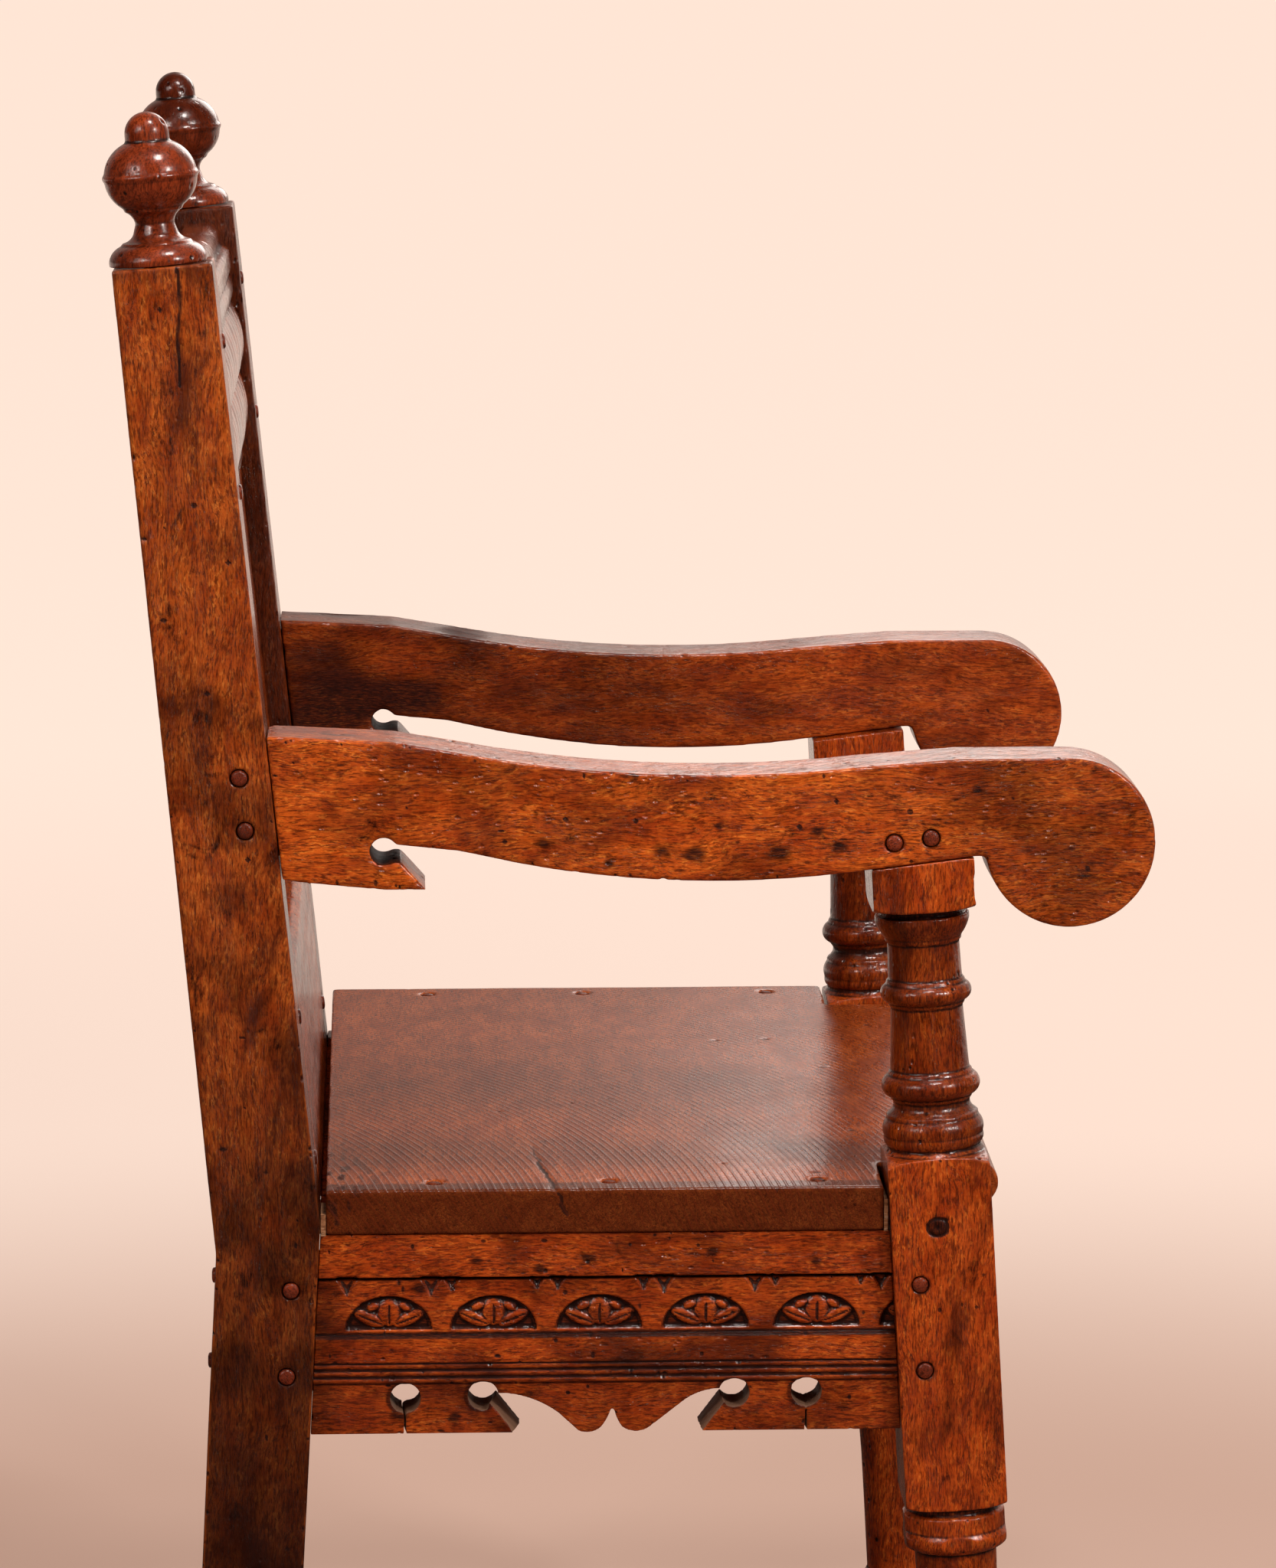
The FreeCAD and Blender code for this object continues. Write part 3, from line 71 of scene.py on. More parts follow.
def noise(points, cell, seed):
    """Smooth noise from 0 to 1 at each point; a cell may differ along X, Y and Z."""
    grid = points / np.asarray(cell, float)
    base = np.floor(grid).astype(np.int64)
    part = grid - base
    part = part * part * (3 - 2 * part)
    total = np.zeros(len(points))
    for corner in itertools.product((0, 1), repeat=3):
        at = base + np.array(corner)
        key = at[:, 0] * SCATTER[0] ^ at[:, 1] * SCATTER[1] ^ at[:, 2] * SCATTER[2]
        key = key ^ (seed * SCATTER_SEED)
        key = (key ^ (key >> 13)) * SCATTER_MIX & WORD
        value = ((key ^ (key >> 15)) & HALF_WORD) / HALF_WORD
        weight = np.prod(np.where(corner, part, 1 - part), axis=1)
        total += weight * value
    return total


def ramp(value, low, high):
    """0 below low, 1 above high and a smooth rise between them."""
    t = np.clip((value - low) / (high - low), 0, 1)
    return t * t * (3 - 2 * t)


def smoothed(points, ends, rounds):
    """Points moved towards the mean of their neighbours again and again."""
    count = np.bincount(ends.ravel(), minlength=len(points))[:, None]
    count = np.maximum(count, 1)
    for _ in range(rounds):
        total = np.zeros_like(points)
        for axis in range(3):
            total[:, axis] = (np.bincount(ends[:, 0], points[ends[:, 1], axis], len(points))
                              + np.bincount(ends[:, 1], points[ends[:, 0], axis], len(points)))
        points = points * HOLD + total / count * (1 - HOLD)
    return points


# Meshes

def mesh_points(mesh):
    flat = np.zeros(len(mesh.vertices) * 3)
    mesh.vertices.foreach_get("co", flat)
    return flat.reshape(-1, 3)


def mesh_normals(mesh):
    flat = np.zeros(len(mesh.vertices) * 3, np.float32)
    mesh.vertex_normals.foreach_get("vector", flat)
    return flat.reshape(-1, 3).astype(float)


def mesh_edges(mesh):
    flat = np.zeros(len(mesh.edges) * 2, np.int32)
    mesh.edges.foreach_get("vertices", flat)
    return flat.reshape(-1, 2)


def set_points(mesh, points):
    mesh.vertices.foreach_set("co", points.astype(np.float32).ravel())
    mesh.update()


def set_attribute(mesh, name, values):
    layer = mesh.attributes.new(name, "FLOAT", "POINT")
    layer.data.foreach_set("value", np.clip(values, 0, 1).astype(np.float32))


def new_piece(name, mesh):
    piece = bpy.data.objects.new(name, mesh)
    bpy.context.scene.collection.objects.link(piece)
    return piece


def remeshed(name, node, voxel):
    """A copy of a CAD node's solid as an even mesh of small quads."""
    source = new_piece(name + "_source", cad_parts[node].data.copy())
    change = source.modifiers.new("even", "REMESH")
    change.mode = "VOXEL"
    change.voxel_size = voxel * COARSE
    graph = bpy.context.evaluated_depsgraph_get()
    mesh = bpy.data.meshes.new_from_object(source.evaluated_get(graph))
    bpy.data.objects.remove(source)
    mesh.name = name
    mesh.polygons.foreach_set("use_smooth", np.ones(len(mesh.polygons), bool))
    return mesh


# How a piece wears: the depth of its dents and how their radius and depth vary; the noises that vary the
# rubbing and wave the faces; how far an edge stands out where dents are likeliest, and how likely they are on
# a face; and the lift over the smoothed mesh at which wear and cavity are full
DENT_DEPTH = 0.8 * MM
DENT_RADII = (0.5, 1.5)
DENT_DEPTHS = (0.3, 1.2)
RUB_CELL, RUB_LEAST, RUB_RANGE = 0.022, 0.45, 0.9
LONG_WAVE, SHORT_WAVE = 0.05, 0.017
LONG_SHARE, SHORT_SHARE = 0.7, 0.3
EDGE_LIFT, FACE_CHANCE = 0.35 * MM, 0.05
WIDE_ROUNDS = 6
WEAR_LIFT = 0.4 * MM
CAVITY_LIFT = 0.26 * MM


def dented(points, normals, likely, count, radius, depth, rng):
    """Points with small dents and chips at chosen places."""
    weight = likely / likely.sum()
    for centre in rng.choice(len(points), count, p=weight):
        size = radius * rng.uniform(*DENT_RADII)
        deep = depth * rng.uniform(*DENT_DEPTHS)
        away = points - points[centre]
        away[:, rng.integers(3)] *= rng.uniform(0.5, 1.0)
        reach = (away * away).sum(1)
        near = reach < size * size
        fall = (1 - reach[near] / (size * size)) ** 2
        points[near] -= normals[centre] * (deep * fall)[:, None]
    return points


def worn(name, node, voxel, seed, rounding=5, wear=0.8, sway=0.25, dents=40, dent=2.2, shape=None,
         soot_and_shade=None, raw=None):
    """A hand-worn copy of a CAD node: arrises rubbed down unevenly, faces a little wavy, and dents.

    Voxel, rounding, sway and dent set the mesh, the rounds of smoothing, the waves and the dents' radius.
    Shape moves the points first; the next two say where the wood is blackened, by dirt and as painted shade,
    and where it is bare.
    """
    mesh = remeshed(name, node, voxel)
    points = mesh_points(mesh)
    ends = mesh_edges(mesh)
    if shape:
        points = shape(points, mesh_normals(mesh))
        set_points(mesh, points)
    normals = mesh_normals(mesh)
    soft = smoothed(points, ends, rounding)
    drop = ((soft - points) * normals).sum(1)
    rub = np.clip(wear * (RUB_LEAST + RUB_RANGE * noise(points, RUB_CELL, seed)), 0, 1)
    points = points + (soft - points) * rub[:, None]
    low, high = points.min(0), points.max(0)
    wave = (noise(points, LONG_WAVE, seed + 1) * LONG_SHARE
            + noise(points, SHORT_WAVE, seed + 2) * SHORT_SHARE)
    points = points - normals * (wave * sway * MM)[:, None]
    if dents:
        rng = np.random.default_rng(seed)
        likely = FACE_CHANCE + np.clip(-drop / EDGE_LIFT, 0, 1)
        points = dented(points, normals, likely, dents, dent * MM, DENT_DEPTH, rng)
    points = np.clip(points, low, high)
    set_points(mesh, points)
    wide = smoothed(points, ends, WIDE_ROUNDS)
    normals = mesh_normals(mesh)
    lift = ((wide - points) * normals).sum(1)
    set_attribute(mesh, "wear", -lift / WEAR_LIFT)
    set_attribute(mesh, "cavity", lift / CAVITY_LIFT)
    # Blackening by dirt, and on some pieces painted shade
    set_attribute(mesh, "soot_and_shade", soot_and_shade(points) if soot_and_shade else np.zeros(len(points)))
    set_attribute(mesh, "raw", raw(points, normals) if raw else np.zeros(len(points)))
    return new_piece(name, mesh)


WELD_DISTANCE = 0.005 * MM


def islands(mesh):
    """The points of each separate solid of a CAD node."""
    shape = bmesh.new()
    shape.from_mesh(mesh)
    bmesh.ops.remove_doubles(shape, verts=shape.verts, dist=WELD_DISTANCE)
    seen, groups = set(), []
    for start in shape.verts:
        if start in seen:
            continue
        seen.add(start)
        todo, group = [start], []
        while todo:
            vert = todo.pop()
            group.append(tuple(vert.co))
            for edge in vert.link_edges:
                other = edge.other_vert(vert)
                if other not in seen:
                    seen.add(other)
                    todo.append(other)
        groups.append(np.array(group))
    shape.free()
    return groups


# Marks of age: cracks and smudges as reach and height; on the seat's top, reach and x

REAR_CRACK = ((-78, 556), (-76.5, 535), (-78, 512), (-77, 486))
SEAT_CRACK = ((129, -148), (133, -190), (135, -225), (141, -262), (143, -300))
SEAT_END_CRACK = ((143, 2), (147, -6), (146, -10), (150, -16))
KNOT = (373.5, -24.5)
KNOT_RING = 6.2
ARM_HOLE = (40.0, 209.0)
# The keyhole: the rim within which its walls get painted shade, and how far in from the arm's faces that
# starts
KEYHOLE_RIM, KEYHOLE_LIP = 13, 1.5 * MM
APRON_HOLES = ((50.3, -130.2), (97.4, -128.9), (249.8, -128.5), (293.7, -128.4))

# Smudges on the near arm and on the near rail: reach, height and radius
ARM_BLOTS = ((277, 205, 9), (226, 205, 8), (207, 207, 7), (313, 208, 6), (136, 212, 5), (176, 200, 5),
             (395, 243, 5), (300, 218, 5), (240, 222, 4))
RAIL_BLOTS = ((162, -43, 6), (133, -50, 4), (95, -45, 4), (238, -40, 4), (300, -46, 5), (60, -62, 5),
              (48, -140, 8), (82, -142, 6))

# The rear posts' back: how far behind the knee, how high the knee is, and the slopes above and below it
POST_BACK = 63
KNEE_HEIGHT = -19.4
RAKE, SPLAY = 0.092, 0.055
SEAT_RAIL_HEIGHT, BACK_MIDDLE = -60, 190

# How far from the chair's middle the pegs' outer heads and the seat's near end are, how far forward the
# front of the near post's block is, and how deep the cracks are
PEG_HEADS = 282
SEAT_END = 266
BLOCK_FRONT = 388
CRACK_DEPTH = 1.3
SPLIT_DEPTH = 1.1


def marked(points):
    """Reach forward and height above the seat, in millimetres."""
    return (KNEE - points[:, 1]) / MM, (points[:, 2] - SEAT_LEVEL) / MM


def near_line(a, b, start, end):
    """Distance from a straight line between two places."""
    run = np.subtract(end, start).astype(float)
    share = np.clip(((a - start[0]) * run[0] + (b - start[1]) * run[1]) / (run @ run), 0, 1)
    return np.hypot(a - start[0] - share * run[0], b - start[1] - share * run[1])


def near_path(a, b, path):
    """Distance from a bent line through several places."""
    return np.min([near_line(a, b, *ends) for ends in zip(path, path[1:])], axis=0)


def blots(points, places):
    """Dark smudges with ragged edges; each place is reach, height and radius."""
    s, z = marked(points)
    ragged = 0.55 + 0.9 * noise(points, 0.004, 5)
    dark = np.zeros(len(points))
    for reach, height, radius in places:
        away = np.hypot(s - reach, (z - height) * 1.3) / (radius * ragged)
        dark = np.maximum(dark, ramp(-away, -1.2, -0.35))
    return dark * 0.9


def peg_rings(points, node):
    """A thin dark line round each peg head."""
    s, z = marked(points)
    x = points[:, 0] / MM
    dark = np.zeros(len(points))
    for solid in islands(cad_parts[node].data):
        low, high = solid.min(0), solid.max(0)
        centre = (low + high) / 2
        reach, height = (KNEE - centre[1]) / MM, (centre[2] - SEAT_LEVEL) / MM
        radius = (high[2] - low[2]) / 2 / MM
        away = np.abs(np.hypot(s - reach, z - height) - radius)
        dark = np.maximum(dark, 0.9 * ramp(-away, -1.5, -0.4) * (np.abs(x) > PEG_HEADS))
    return dark


def rear_post_shape(points, normals):
    """The check in the top of the near rear post's outer face."""
    s, z = marked(points)
    away = near_path(s + 1.6 * (noise(points, 0.008, 3) - 0.5), z, REAR_CRACK)
    points = points.copy()
    points[:, 0] += CRACK_DEPTH * MM * ramp(-away, -1.0, -0.2) * (normals[:, 0] < -0.6)
    return points


def rear_post_soot(points):
    """The near rear post is dark in its crack, round its pegs, at its back and in patches."""
    s, z = marked(points)
    crack = 0.8 * ramp(-near_path(s, z, REAR_CRACK), -1.1, -0.1)
    above = z - KNEE_HEIGHT
    behind = s + POST_BACK + np.where(above > 0, above * RAKE, -above * SPLAY)
    back = 0.5 * ramp(-behind, -2.5, 1)
    joint = 0.7 * ramp(-np.abs(z - SEAT_RAIL_HEIGHT), -150, -20)
    joint *= ramp(noise(points, (0.05, 0.02, 0.03), 8), 0.35, 0.75)
    middle = 0.45 * ramp(-np.abs(z - BACK_MIDDLE), -170, -60)
    middle *= ramp(noise(points, (0.05, 0.03, 0.02), 18), 0.35, 0.7)
    return np.maximum.reduce([crack, back, joint, middle, peg_rings(points, "rail_pegs_right"),
                              peg_rings(points, "arm_pegs_right")])


def far_post_painted_shade(points):
    """Painted shade: the far rear post is darkest on the face towards the seat."""
    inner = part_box("rear_post_left")[0].x
    return 0.62 * ramp(-points[:, 0], -inner - 3 * MM, -inner - 1 * MM)


def keyhole_painted_shade(points, node):
    """Painted shade inside the keyhole of an arm."""
    s, z = marked(points)
    low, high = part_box(node)
    within = (points[:, 0] > low.x + KEYHOLE_LIP) & (points[:, 0] < high.x - KEYHOLE_LIP)
    return 0.96 * within * ramp(-np.hypot(s - ARM_HOLE[0], z - ARM_HOLE[1]), -KEYHOLE_RIM - 3, -KEYHOLE_RIM)


def far_arm_darkening_and_painted_shade(points):
    """The far arm is darkest towards the back; inside its keyhole the dark is painted shade."""
    s, _ = marked(points)
    patch = ramp(noise(points, (0.05, 0.045, 0.025), 21), 0.2, 0.8)
    shade = (0.3 + 0.45 * patch) * ramp(-s, -330, -60) + 0.2 * patch
    return np.maximum(shade, keyhole_painted_shade(points, "arm_left"))


def front_post_shape(points, normals):
    """A knot standing in a ring of shrinkage on the near front post, and the chipped top of its block."""
    s, z = marked(points)
    away = np.hypot(s - KNOT[0], (z - KNOT[1]) * 1.15)
    ring = ramp(-np.abs(away - KNOT_RING), -1.6, -0.2) * 1.1
    ring = ring + 0.7 * ramp(-away, -5, 0) * noise(points, 0.003, 4)
    chip = ramp(z, 172, 178) * ramp(-z, -193, -186) * ramp(s, BLOCK_FRONT, BLOCK_FRONT + 4)
    chip = chip * noise(points, 0.005, 6) * 2.5
    points = points.copy()
    points[:, 0] += MM * ring * (normals[:, 0] < -0.6)
    points[:, 1] += MM * chip * (normals[:, 1] < -0.5)
    return points


def front_post_soot(points):
    """A front post is darker where it is turned, at its knot and round its pegs."""
    s, z = marked(points)
    turned = ramp(z, 16, 22) * ramp(-z, -170, -165)
    knot = ramp(-np.hypot(s - KNOT[0], z - KNOT[1]), -7.5, -4.5)
    rings = peg_rings(points, "rail_pegs_right")
    return np.maximum.reduce([0.52 * turned * (0.75 + 0.5 * noise(points, 0.02, 9)), knot * 0.95, rings])


def seat_shape(points, normals):
    """An even top for the seat board, and the split in its near end."""
    s, z = marked(points)
    x = points[:, 0] / MM
    jitter = 2.2 * (noise(points, 0.007, 3) - 0.5)
    flat = normals[:, 2] > 0.97
    level = np.polyfit(points[flat, 0], points[flat, 2], 1)
    rise = points[:, 2] - np.polyval(level, points[:, 0])
    even = flat * ramp(-np.abs(rise), -0.9 * MM, -0.5 * MM)
    top = ramp(-near_path(s + jitter, x, SEAT_CRACK), -1.5, -0.2) * (normals[:, 2] > 0.6)
    end = ramp(-near_path(s + jitter, z, SEAT_END_CRACK), -1.5, -0.2) * (normals[:, 0] < -0.6)
    points = points.copy()
    points[:, 2] -= 0.85 * rise * even + SPLIT_DEPTH * MM * top * ramp(-x, 150, 260)
    points[:, 0] += SPLIT_DEPTH * MM * end
    return points


def seat_soot(points):
    """The seat is dark in its split, in pits at its near rear corner and on its near end."""
    s, z = marked(points)
    x = points[:, 0] / MM
    jitter = 2.2 * (noise(points, 0.007, 3) - 0.5)
    top = 0.8 * ramp(-near_path(s + jitter, x, SEAT_CRACK), -1.2, -0.2)
    top = top * ramp(z, -3, -1) * ramp(-x, 150, 250)
    end = 0.8 * ramp(-near_path(s + jitter, z, SEAT_END_CRACK), -1.2, -0.2) * (x < -260)
    pits = ramp(noise(points, (0.012, 0.004, 0.01), 7), 0.56, 0.64)
    corner = ramp(-s, -58, -14) * ramp(-x, 150, 262) * pits
    return np.maximum.reduce([top, end, corner, 0.74 * ramp(-x, SEAT_END, SEAT_END + 3)])


def arm_smudges_and_painted_shade(points):
    """The near arm is dark in its smudges, on its scroll and round its pegs; inside its keyhole the dark is
    painted shade.
    """
    s, _ = marked(points)
    keyhole = keyhole_painted_shade(points, "arm_right")
    scroll = 0.30 * ramp(s, 335, 400) * (0.5 + noise(points, 0.03, 14))
    rings = peg_rings(points, "arm_pegs_right")
    return np.maximum.reduce([blots(points, ARM_BLOTS), keyhole, scroll, rings])


def rail_smudges_and_painted_shade(points):
    """Painted shade in the grounds and holes, under the fascia and along the ledge and quirk; darker over the
    reeds, the apron and the ends; and dirt in smudges.
    """
    s, h = marked(points)
    # Painted shade: the fascia's shadow on the gap below it, and dark lines along the ledge and the quirk
    gap = ramp(-np.abs(h - GAP_LINE), -1.6, -0.4)
    ledge = 0.97 * ramp(-np.abs(h - LEDGE_LINE), -2.4, -1.3)
    quirk = 0.8 * ramp(-np.abs(h - QUIRK_LINE), -1.0, -0.3)
    shade_lines = np.maximum.reduce([gap, ledge, quirk])
    # Darker over the reeds, on the apron below them and towards both ends
    broad = 0.45 * ramp(-np.abs(h - REEDS_MIDDLE), -8, -5) + 0.35 * ramp(-h, 120, 123)
    broad = broad * (0.6 + 0.6 * noise(points, 0.012, 4))
    ends = 0.55 * np.maximum(ramp(-s, -26, -4), ramp(s, 338, 352)) * ramp(-h, 56, 60)
    # Painted shade in the lunettes' grounds and round the apron's holes
    u = s + RAIL_START
    ground = sum(lunette(u - centre, h - LUNETTE_BASE) for centre in LUNETTE_CENTRES)
    shade_lines = np.maximum(shade_lines, 0.85 * ramp(ground, 1.3, 2.7))
    for reach, height in APRON_HOLES:
        away = np.hypot(s - reach, h - height)
        shade_lines = np.maximum(shade_lines, 0.85 * ramp(-away, -HOLE_RIM - 2, -HOLE_RIM))
    return np.maximum.reduce([shade_lines, broad, ends, blots(points, RAIL_BLOTS)])


def rail_raw(points, normals):
    """Bare rough wood in the apron's holes and cut edges."""
    _, h = marked(points)
    inside = points[:, 0] > points[:, 0].min() + APRON_LIP
    return 0.9 * inside * (np.abs(normals[:, 0]) < 0.55) * (h < APRON_RAW_TOP)


# Carving of the seat rails, in millimetres: heights from the seat level, depths from the rail's face, and
# places from the left end as seen from outside

RAIL_LENGTH, RAIL_START, RAIL_THICKNESS = 349.6, 2.8, 26
CARVED_DEPTH = 6.5
EDGE_SOFTNESS = 0.35

FASCIA_BASE = -55.0
GAP_BASE, GAP_SINK = -56.3, 5.0
BAND_BASE, BAND_SINK = -90.6, 3.0
LEDGE_BASE = -92.2
FLAT_BASE = -107.8
REED_COUNT, REED_HEIGHT, REED_SINK = 3, 4.4, 2.0
APRON_TOP = FLAT_BASE - REED_HEIGHT * REED_COUNT
APRON_SINK = 2.5

# The lunettes, their leaves (middle, half length and half width, and turn) and veins (depth, start, end and
# width), and the nicks above and between them
LUNETTE_CENTRES = (43.6, 106.9, 171.0, 235.4, 302.9, 367.0)
LUNETTE_BASE, LUNETTE_HEIGHT, LUNETTE_HALF_WIDTH, LUNETTE_SINK = -87.4, 20.8, 26.2, 2.9
LEAVES = (((0, 10.0), (7.4, 8.6), 0), ((-12.0, 6.4), (10.5, 4.2), -0.46), ((12.0, 6.4), (10.5, 4.2), 0.46),
          ((-9.8, 13.6), (4.4, 2.6), 0.5), ((9.8, 13.6), (4.4, 2.6), -0.5))
LEAF_FULLNESS, LEAF_RISE = 0.4, 0.92
VEINS = ((1.8, (0, 2.5), (0, 15.0), 1.1), (1.1, (-3.5, 2.6), (-20, 9.4), 0.9),
         (1.1, (3.5, 2.6), (20, 9.4), 0.9))
NICK_OFFSET, NICK_WIDTH, NICK_HEIGHT, NICK_DEPTH, NICK_WALL = 6.2, 10.5, 9.0, 2.6, 0.35

# The near apron alone: where its back starts and how much deeper it is, the kerfs, and the worn slanting
# tips: the side that they face, their reach at a height, that height, the slope, how much and how broadly
APRON_BACK, APRON_STEP = 24.5, 9.0
KERFS = (53.1, 296.5)
KERF_REACH, KERF_TOP = 8, 138.0
TIPS = ((-1, 106.2, -133.1, 0.798, 5.0, 9), (1, 244.1, -132.0, 0.746, 2.4, 6))

# Lines of painted shade on the near rail, the middle of its darker reeds, the rim of the painted shade round
# its holes, and where its bare wood starts
GAP_LINE, LEDGE_LINE, QUIRK_LINE, REEDS_MIDDLE = -56.2, -91.0, -108.2, -114.5
HOLE_RIM = 9.6
APRON_LIP, APRON_RAW_TOP = 3.6 * MM, -119


def petal(x, z, centre, half, turn):
    """1 in the middle of an oval lobe and 0 at its rim."""
    dx, dz = x - centre[0], z - centre[1]
    along = dx * math.cos(turn) + dz * math.sin(turn)
    across = -dx * math.sin(turn) + dz * math.cos(turn)
    return np.clip(1 - (along / half[0]) ** 2 - (across / half[1]) ** 2, 0, 1)


def slit(x, z, start, end, width):
    """1 on a straight gouge cut and 0 beside it, tapering to its ends."""
    run = np.array(end, float) - np.array(start, float)
    length = np.hypot(*run)
    run /= length
    along = (x - start[0]) * run[0] + (z - start[1]) * run[1]
    across = np.abs(-(x - start[0]) * run[1] + (z - start[1]) * run[0])
    taper = np.clip(1 - (2 * along / length - 1) ** 2, 0, 1) ** 0.5
    return np.clip(1 - across / (width * np.maximum(taper, 0.01)), 0, 1) * (taper > 0)


def lunette(x, z):
    """Depth inside one lunette; x from its middle and z from its base."""
    inside = 1 - (x / LUNETTE_HALF_WIDTH) ** 2 - (z / LUNETTE_HEIGHT) ** 2
    ground = ramp(inside, 0, 0.09) * ramp(z, -0.3, 0.5)
    leaf = np.maximum.reduce([petal(x, z, *ways) ** LEAF_FULLNESS for ways in LEAVES])
    depth = ground * LUNETTE_SINK * (1 - LEAF_RISE * leaf)
    for deep, *cut in VEINS:
        depth += deep * slit(x, z, *cut)
    return depth


def nick(x, z, width, height):
    """Depth of a chip cut hanging from the band's top edge: a V, deepest at the edge."""
    down = -z / height
    rim = 1 - np.abs(x) / (width / 2) - down
    return NICK_DEPTH * np.clip(rim / NICK_WALL, 0, 1) * (down > -0.2)


def rail_relief(u, h, centres):
    """Depth of the carved face of a rail."""
    soft = EDGE_SOFTNESS
    under = ramp(-h, -FASCIA_BASE - soft, -FASCIA_BASE + soft)
    depth = BAND_SINK * under * ramp(h, LEDGE_BASE, BAND_BASE)
    depth += (GAP_SINK - BAND_SINK) * under * ramp(h, GAP_BASE - soft, GAP_BASE + soft)
    for number, centre in enumerate(centres):
        depth += lunette(u - centre, h - LUNETTE_BASE)
        for side in (-1, 1):
            middle = centre - (centres[1] - centres[0]) / 2 + side * NICK_OFFSET
            if number or side > 0:
                sway = 1 + 0.25 * math.sin(number * 2.4 + side)
                depth += nick(u - middle, h - GAP_BASE, NICK_WIDTH * sway, NICK_HEIGHT * sway)
    for number in range(REED_COUNT):
        top = FLAT_BASE - REED_HEIGHT * number
        place = (top - h) / REED_HEIGHT
        inside = (place > 0) & (place <= 1)
        depth += inside * REED_SINK * np.abs(2 * place - 1) ** 2.2
    depth += APRON_SINK * ramp(-h, -APRON_TOP - soft, -APRON_TOP + soft)
    return depth


def tip_wear(points, inward):
    """How far the slanting ends of the near apron's blocks are worn away towards the outer face."""
    s, h = marked(points)
    low = ramp(-h, 130.5, 133.5)
    front = np.clip(1 - inward / RAIL_THICKNESS, 0, 1)
    shift = np.zeros(len(points))
    for side, reach, height, slope, deep, broad in TIPS:
        away = side * (s - reach) - (h - height) * slope
        shift -= side * deep * np.clip(1 - away / broad, 0, 1) * (away > -2.5) * (away < broad)
    return shift * front * low * (0.8 + 0.4 * noise(points, 0.006, 2))


def pinched(u, h, inward):
    """How far the sides of the two kerfs under the outer holes stand closer together and run askew."""
    shift = np.zeros(len(u))
    for middle in KERFS:
        away = u - middle
        close = np.abs(away) < KERF_REACH
        narrow = 0.55 * away * ramp(-np.abs(away), -KERF_REACH, -1.2)
        askew = 0.1 * np.clip(inward, 0, RAIL_THICKNESS) * ramp(-np.abs(away), -KERF_REACH, -2.5)
        shift += np.where(close, narrow + askew, 0)
    return shift * ramp(-h, KERF_TOP, KERF_TOP + 3.5)


def relief_shape(axis, sign, left_end, centres, tips=False):
    """A function that carves the outer face of a rail.

    The face looks along axis with sign, and u runs from left_end along the other level axis, to the right
    as seen from outside. Tips adds what only the near apron has: worn tips, narrow kerfs and a deeper back.
    """
    run_axis = 1 - axis
    run_sign = {(0, -1): -1, (0, 1): 1, (1, -1): 1}[(axis, sign)]

    def carve(points, normals):
        face = (points[:, axis] * sign).max()
        inward = face - points[:, axis] * sign
        u = (points[:, run_axis] - left_end) * run_sign / MM
        h = (points[:, 2] - SEAT_LEVEL) / MM
        depth = rail_relief(u, h, centres) * MM
        near = inward < CARVED_DEPTH * MM
        front = near & (normals[:, axis] * sign > 0.45)
        inward = np.where(front, depth, np.where(near, np.maximum(inward, depth), inward))
        points = points.copy()
        points[:, axis] = (face - inward) * sign
        if tips:
            points[:, 1] += tip_wear(points, inward / MM) * MM
            points[:, 1] += pinched(u, h, inward / MM) * MM
            deep = (inward > APRON_BACK * MM) * ramp(-h, -APRON_TOP - 1, -APRON_TOP + 1)
            points[:, axis] -= deep * APRON_STEP * MM * sign
        return points

    return carve


# Carving of the back, in millimetres

# The crest's lobes and flutes: pitch, depth and fullness, and where over its height they start and end
LOBE_PITCH, LOBE_CUT, LOBE_FULLNESS = 92, 2.2, 0.45
FLUTE_PITCH, FLUTE_CUT, FLUTE_FULLNESS = 23, 0.8, 0.6
CREST_BAND = ((0.06, 0.16), (-0.72, -0.6))
TICK_ROWS = (18, 42, 66, 90, 114)
TICK_COLUMNS = range(-8, 9)
TICK_PITCH, TICK_HALF_LENGTH, TICK_DEPTH, TICK_WIDTH = 26, 8, 1.6, 1.7


def crest_shape(points, normals):
    """Upright cuts that divide the crest's bands into lobes, with finer flutes between them."""
    low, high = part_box("crest_rail")
    u = points[:, 0] / MM
    rise = (points[:, 2] - low.z) / (high.z - low.z)
    front = normals[:, 1] < -0.35
    lobe = np.abs(np.sin(u * math.pi / LOBE_PITCH)) ** LOBE_FULLNESS
    flute = np.abs(np.sin(u * math.pi / FLUTE_PITCH)) ** FLUTE_FULLNESS
    band = ramp(rise, *CREST_BAND[0]) * ramp(-rise, *CREST_BAND[1])
    depth = (LOBE_CUT * (1 - lobe) + FLUTE_CUT * (1 - flute)) * band
    points = points.copy()
    points[:, 1] += np.where(front, depth * MM, 0)
    return points


def lower_rail_shape(points, normals):
    """Sparse slanting gouge ticks on the front of the lower back rail."""
    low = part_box("lower_back_rail")[0]
    rng = np.random.default_rng(41)
    front = normals[:, 1] < -0.6
    x, z = points[:, 0] / MM, (points[:, 2] - low.z) / MM
    depth = np.zeros(len(points))
    for row, height in enumerate(TICK_ROWS):
        for column in TICK_COLUMNS:
            cx = column * TICK_PITCH + (TICK_PITCH / 2 if row % 2 else 0) + rng.uniform(-3, 3)
            cz = height + rng.uniform(-3, 3)
            lean = rng.uniform(-0.25, 0.25) * TICK_HALF_LENGTH
            depth += TICK_DEPTH * slit(x, z, (cx - lean, cz - TICK_HALF_LENGTH),
                                       (cx + lean, cz + TICK_HALF_LENGTH), TICK_WIDTH)
    points = points.copy()
    points[:, 1] += np.where(front, depth * MM, 0)
    return points


# Finishes

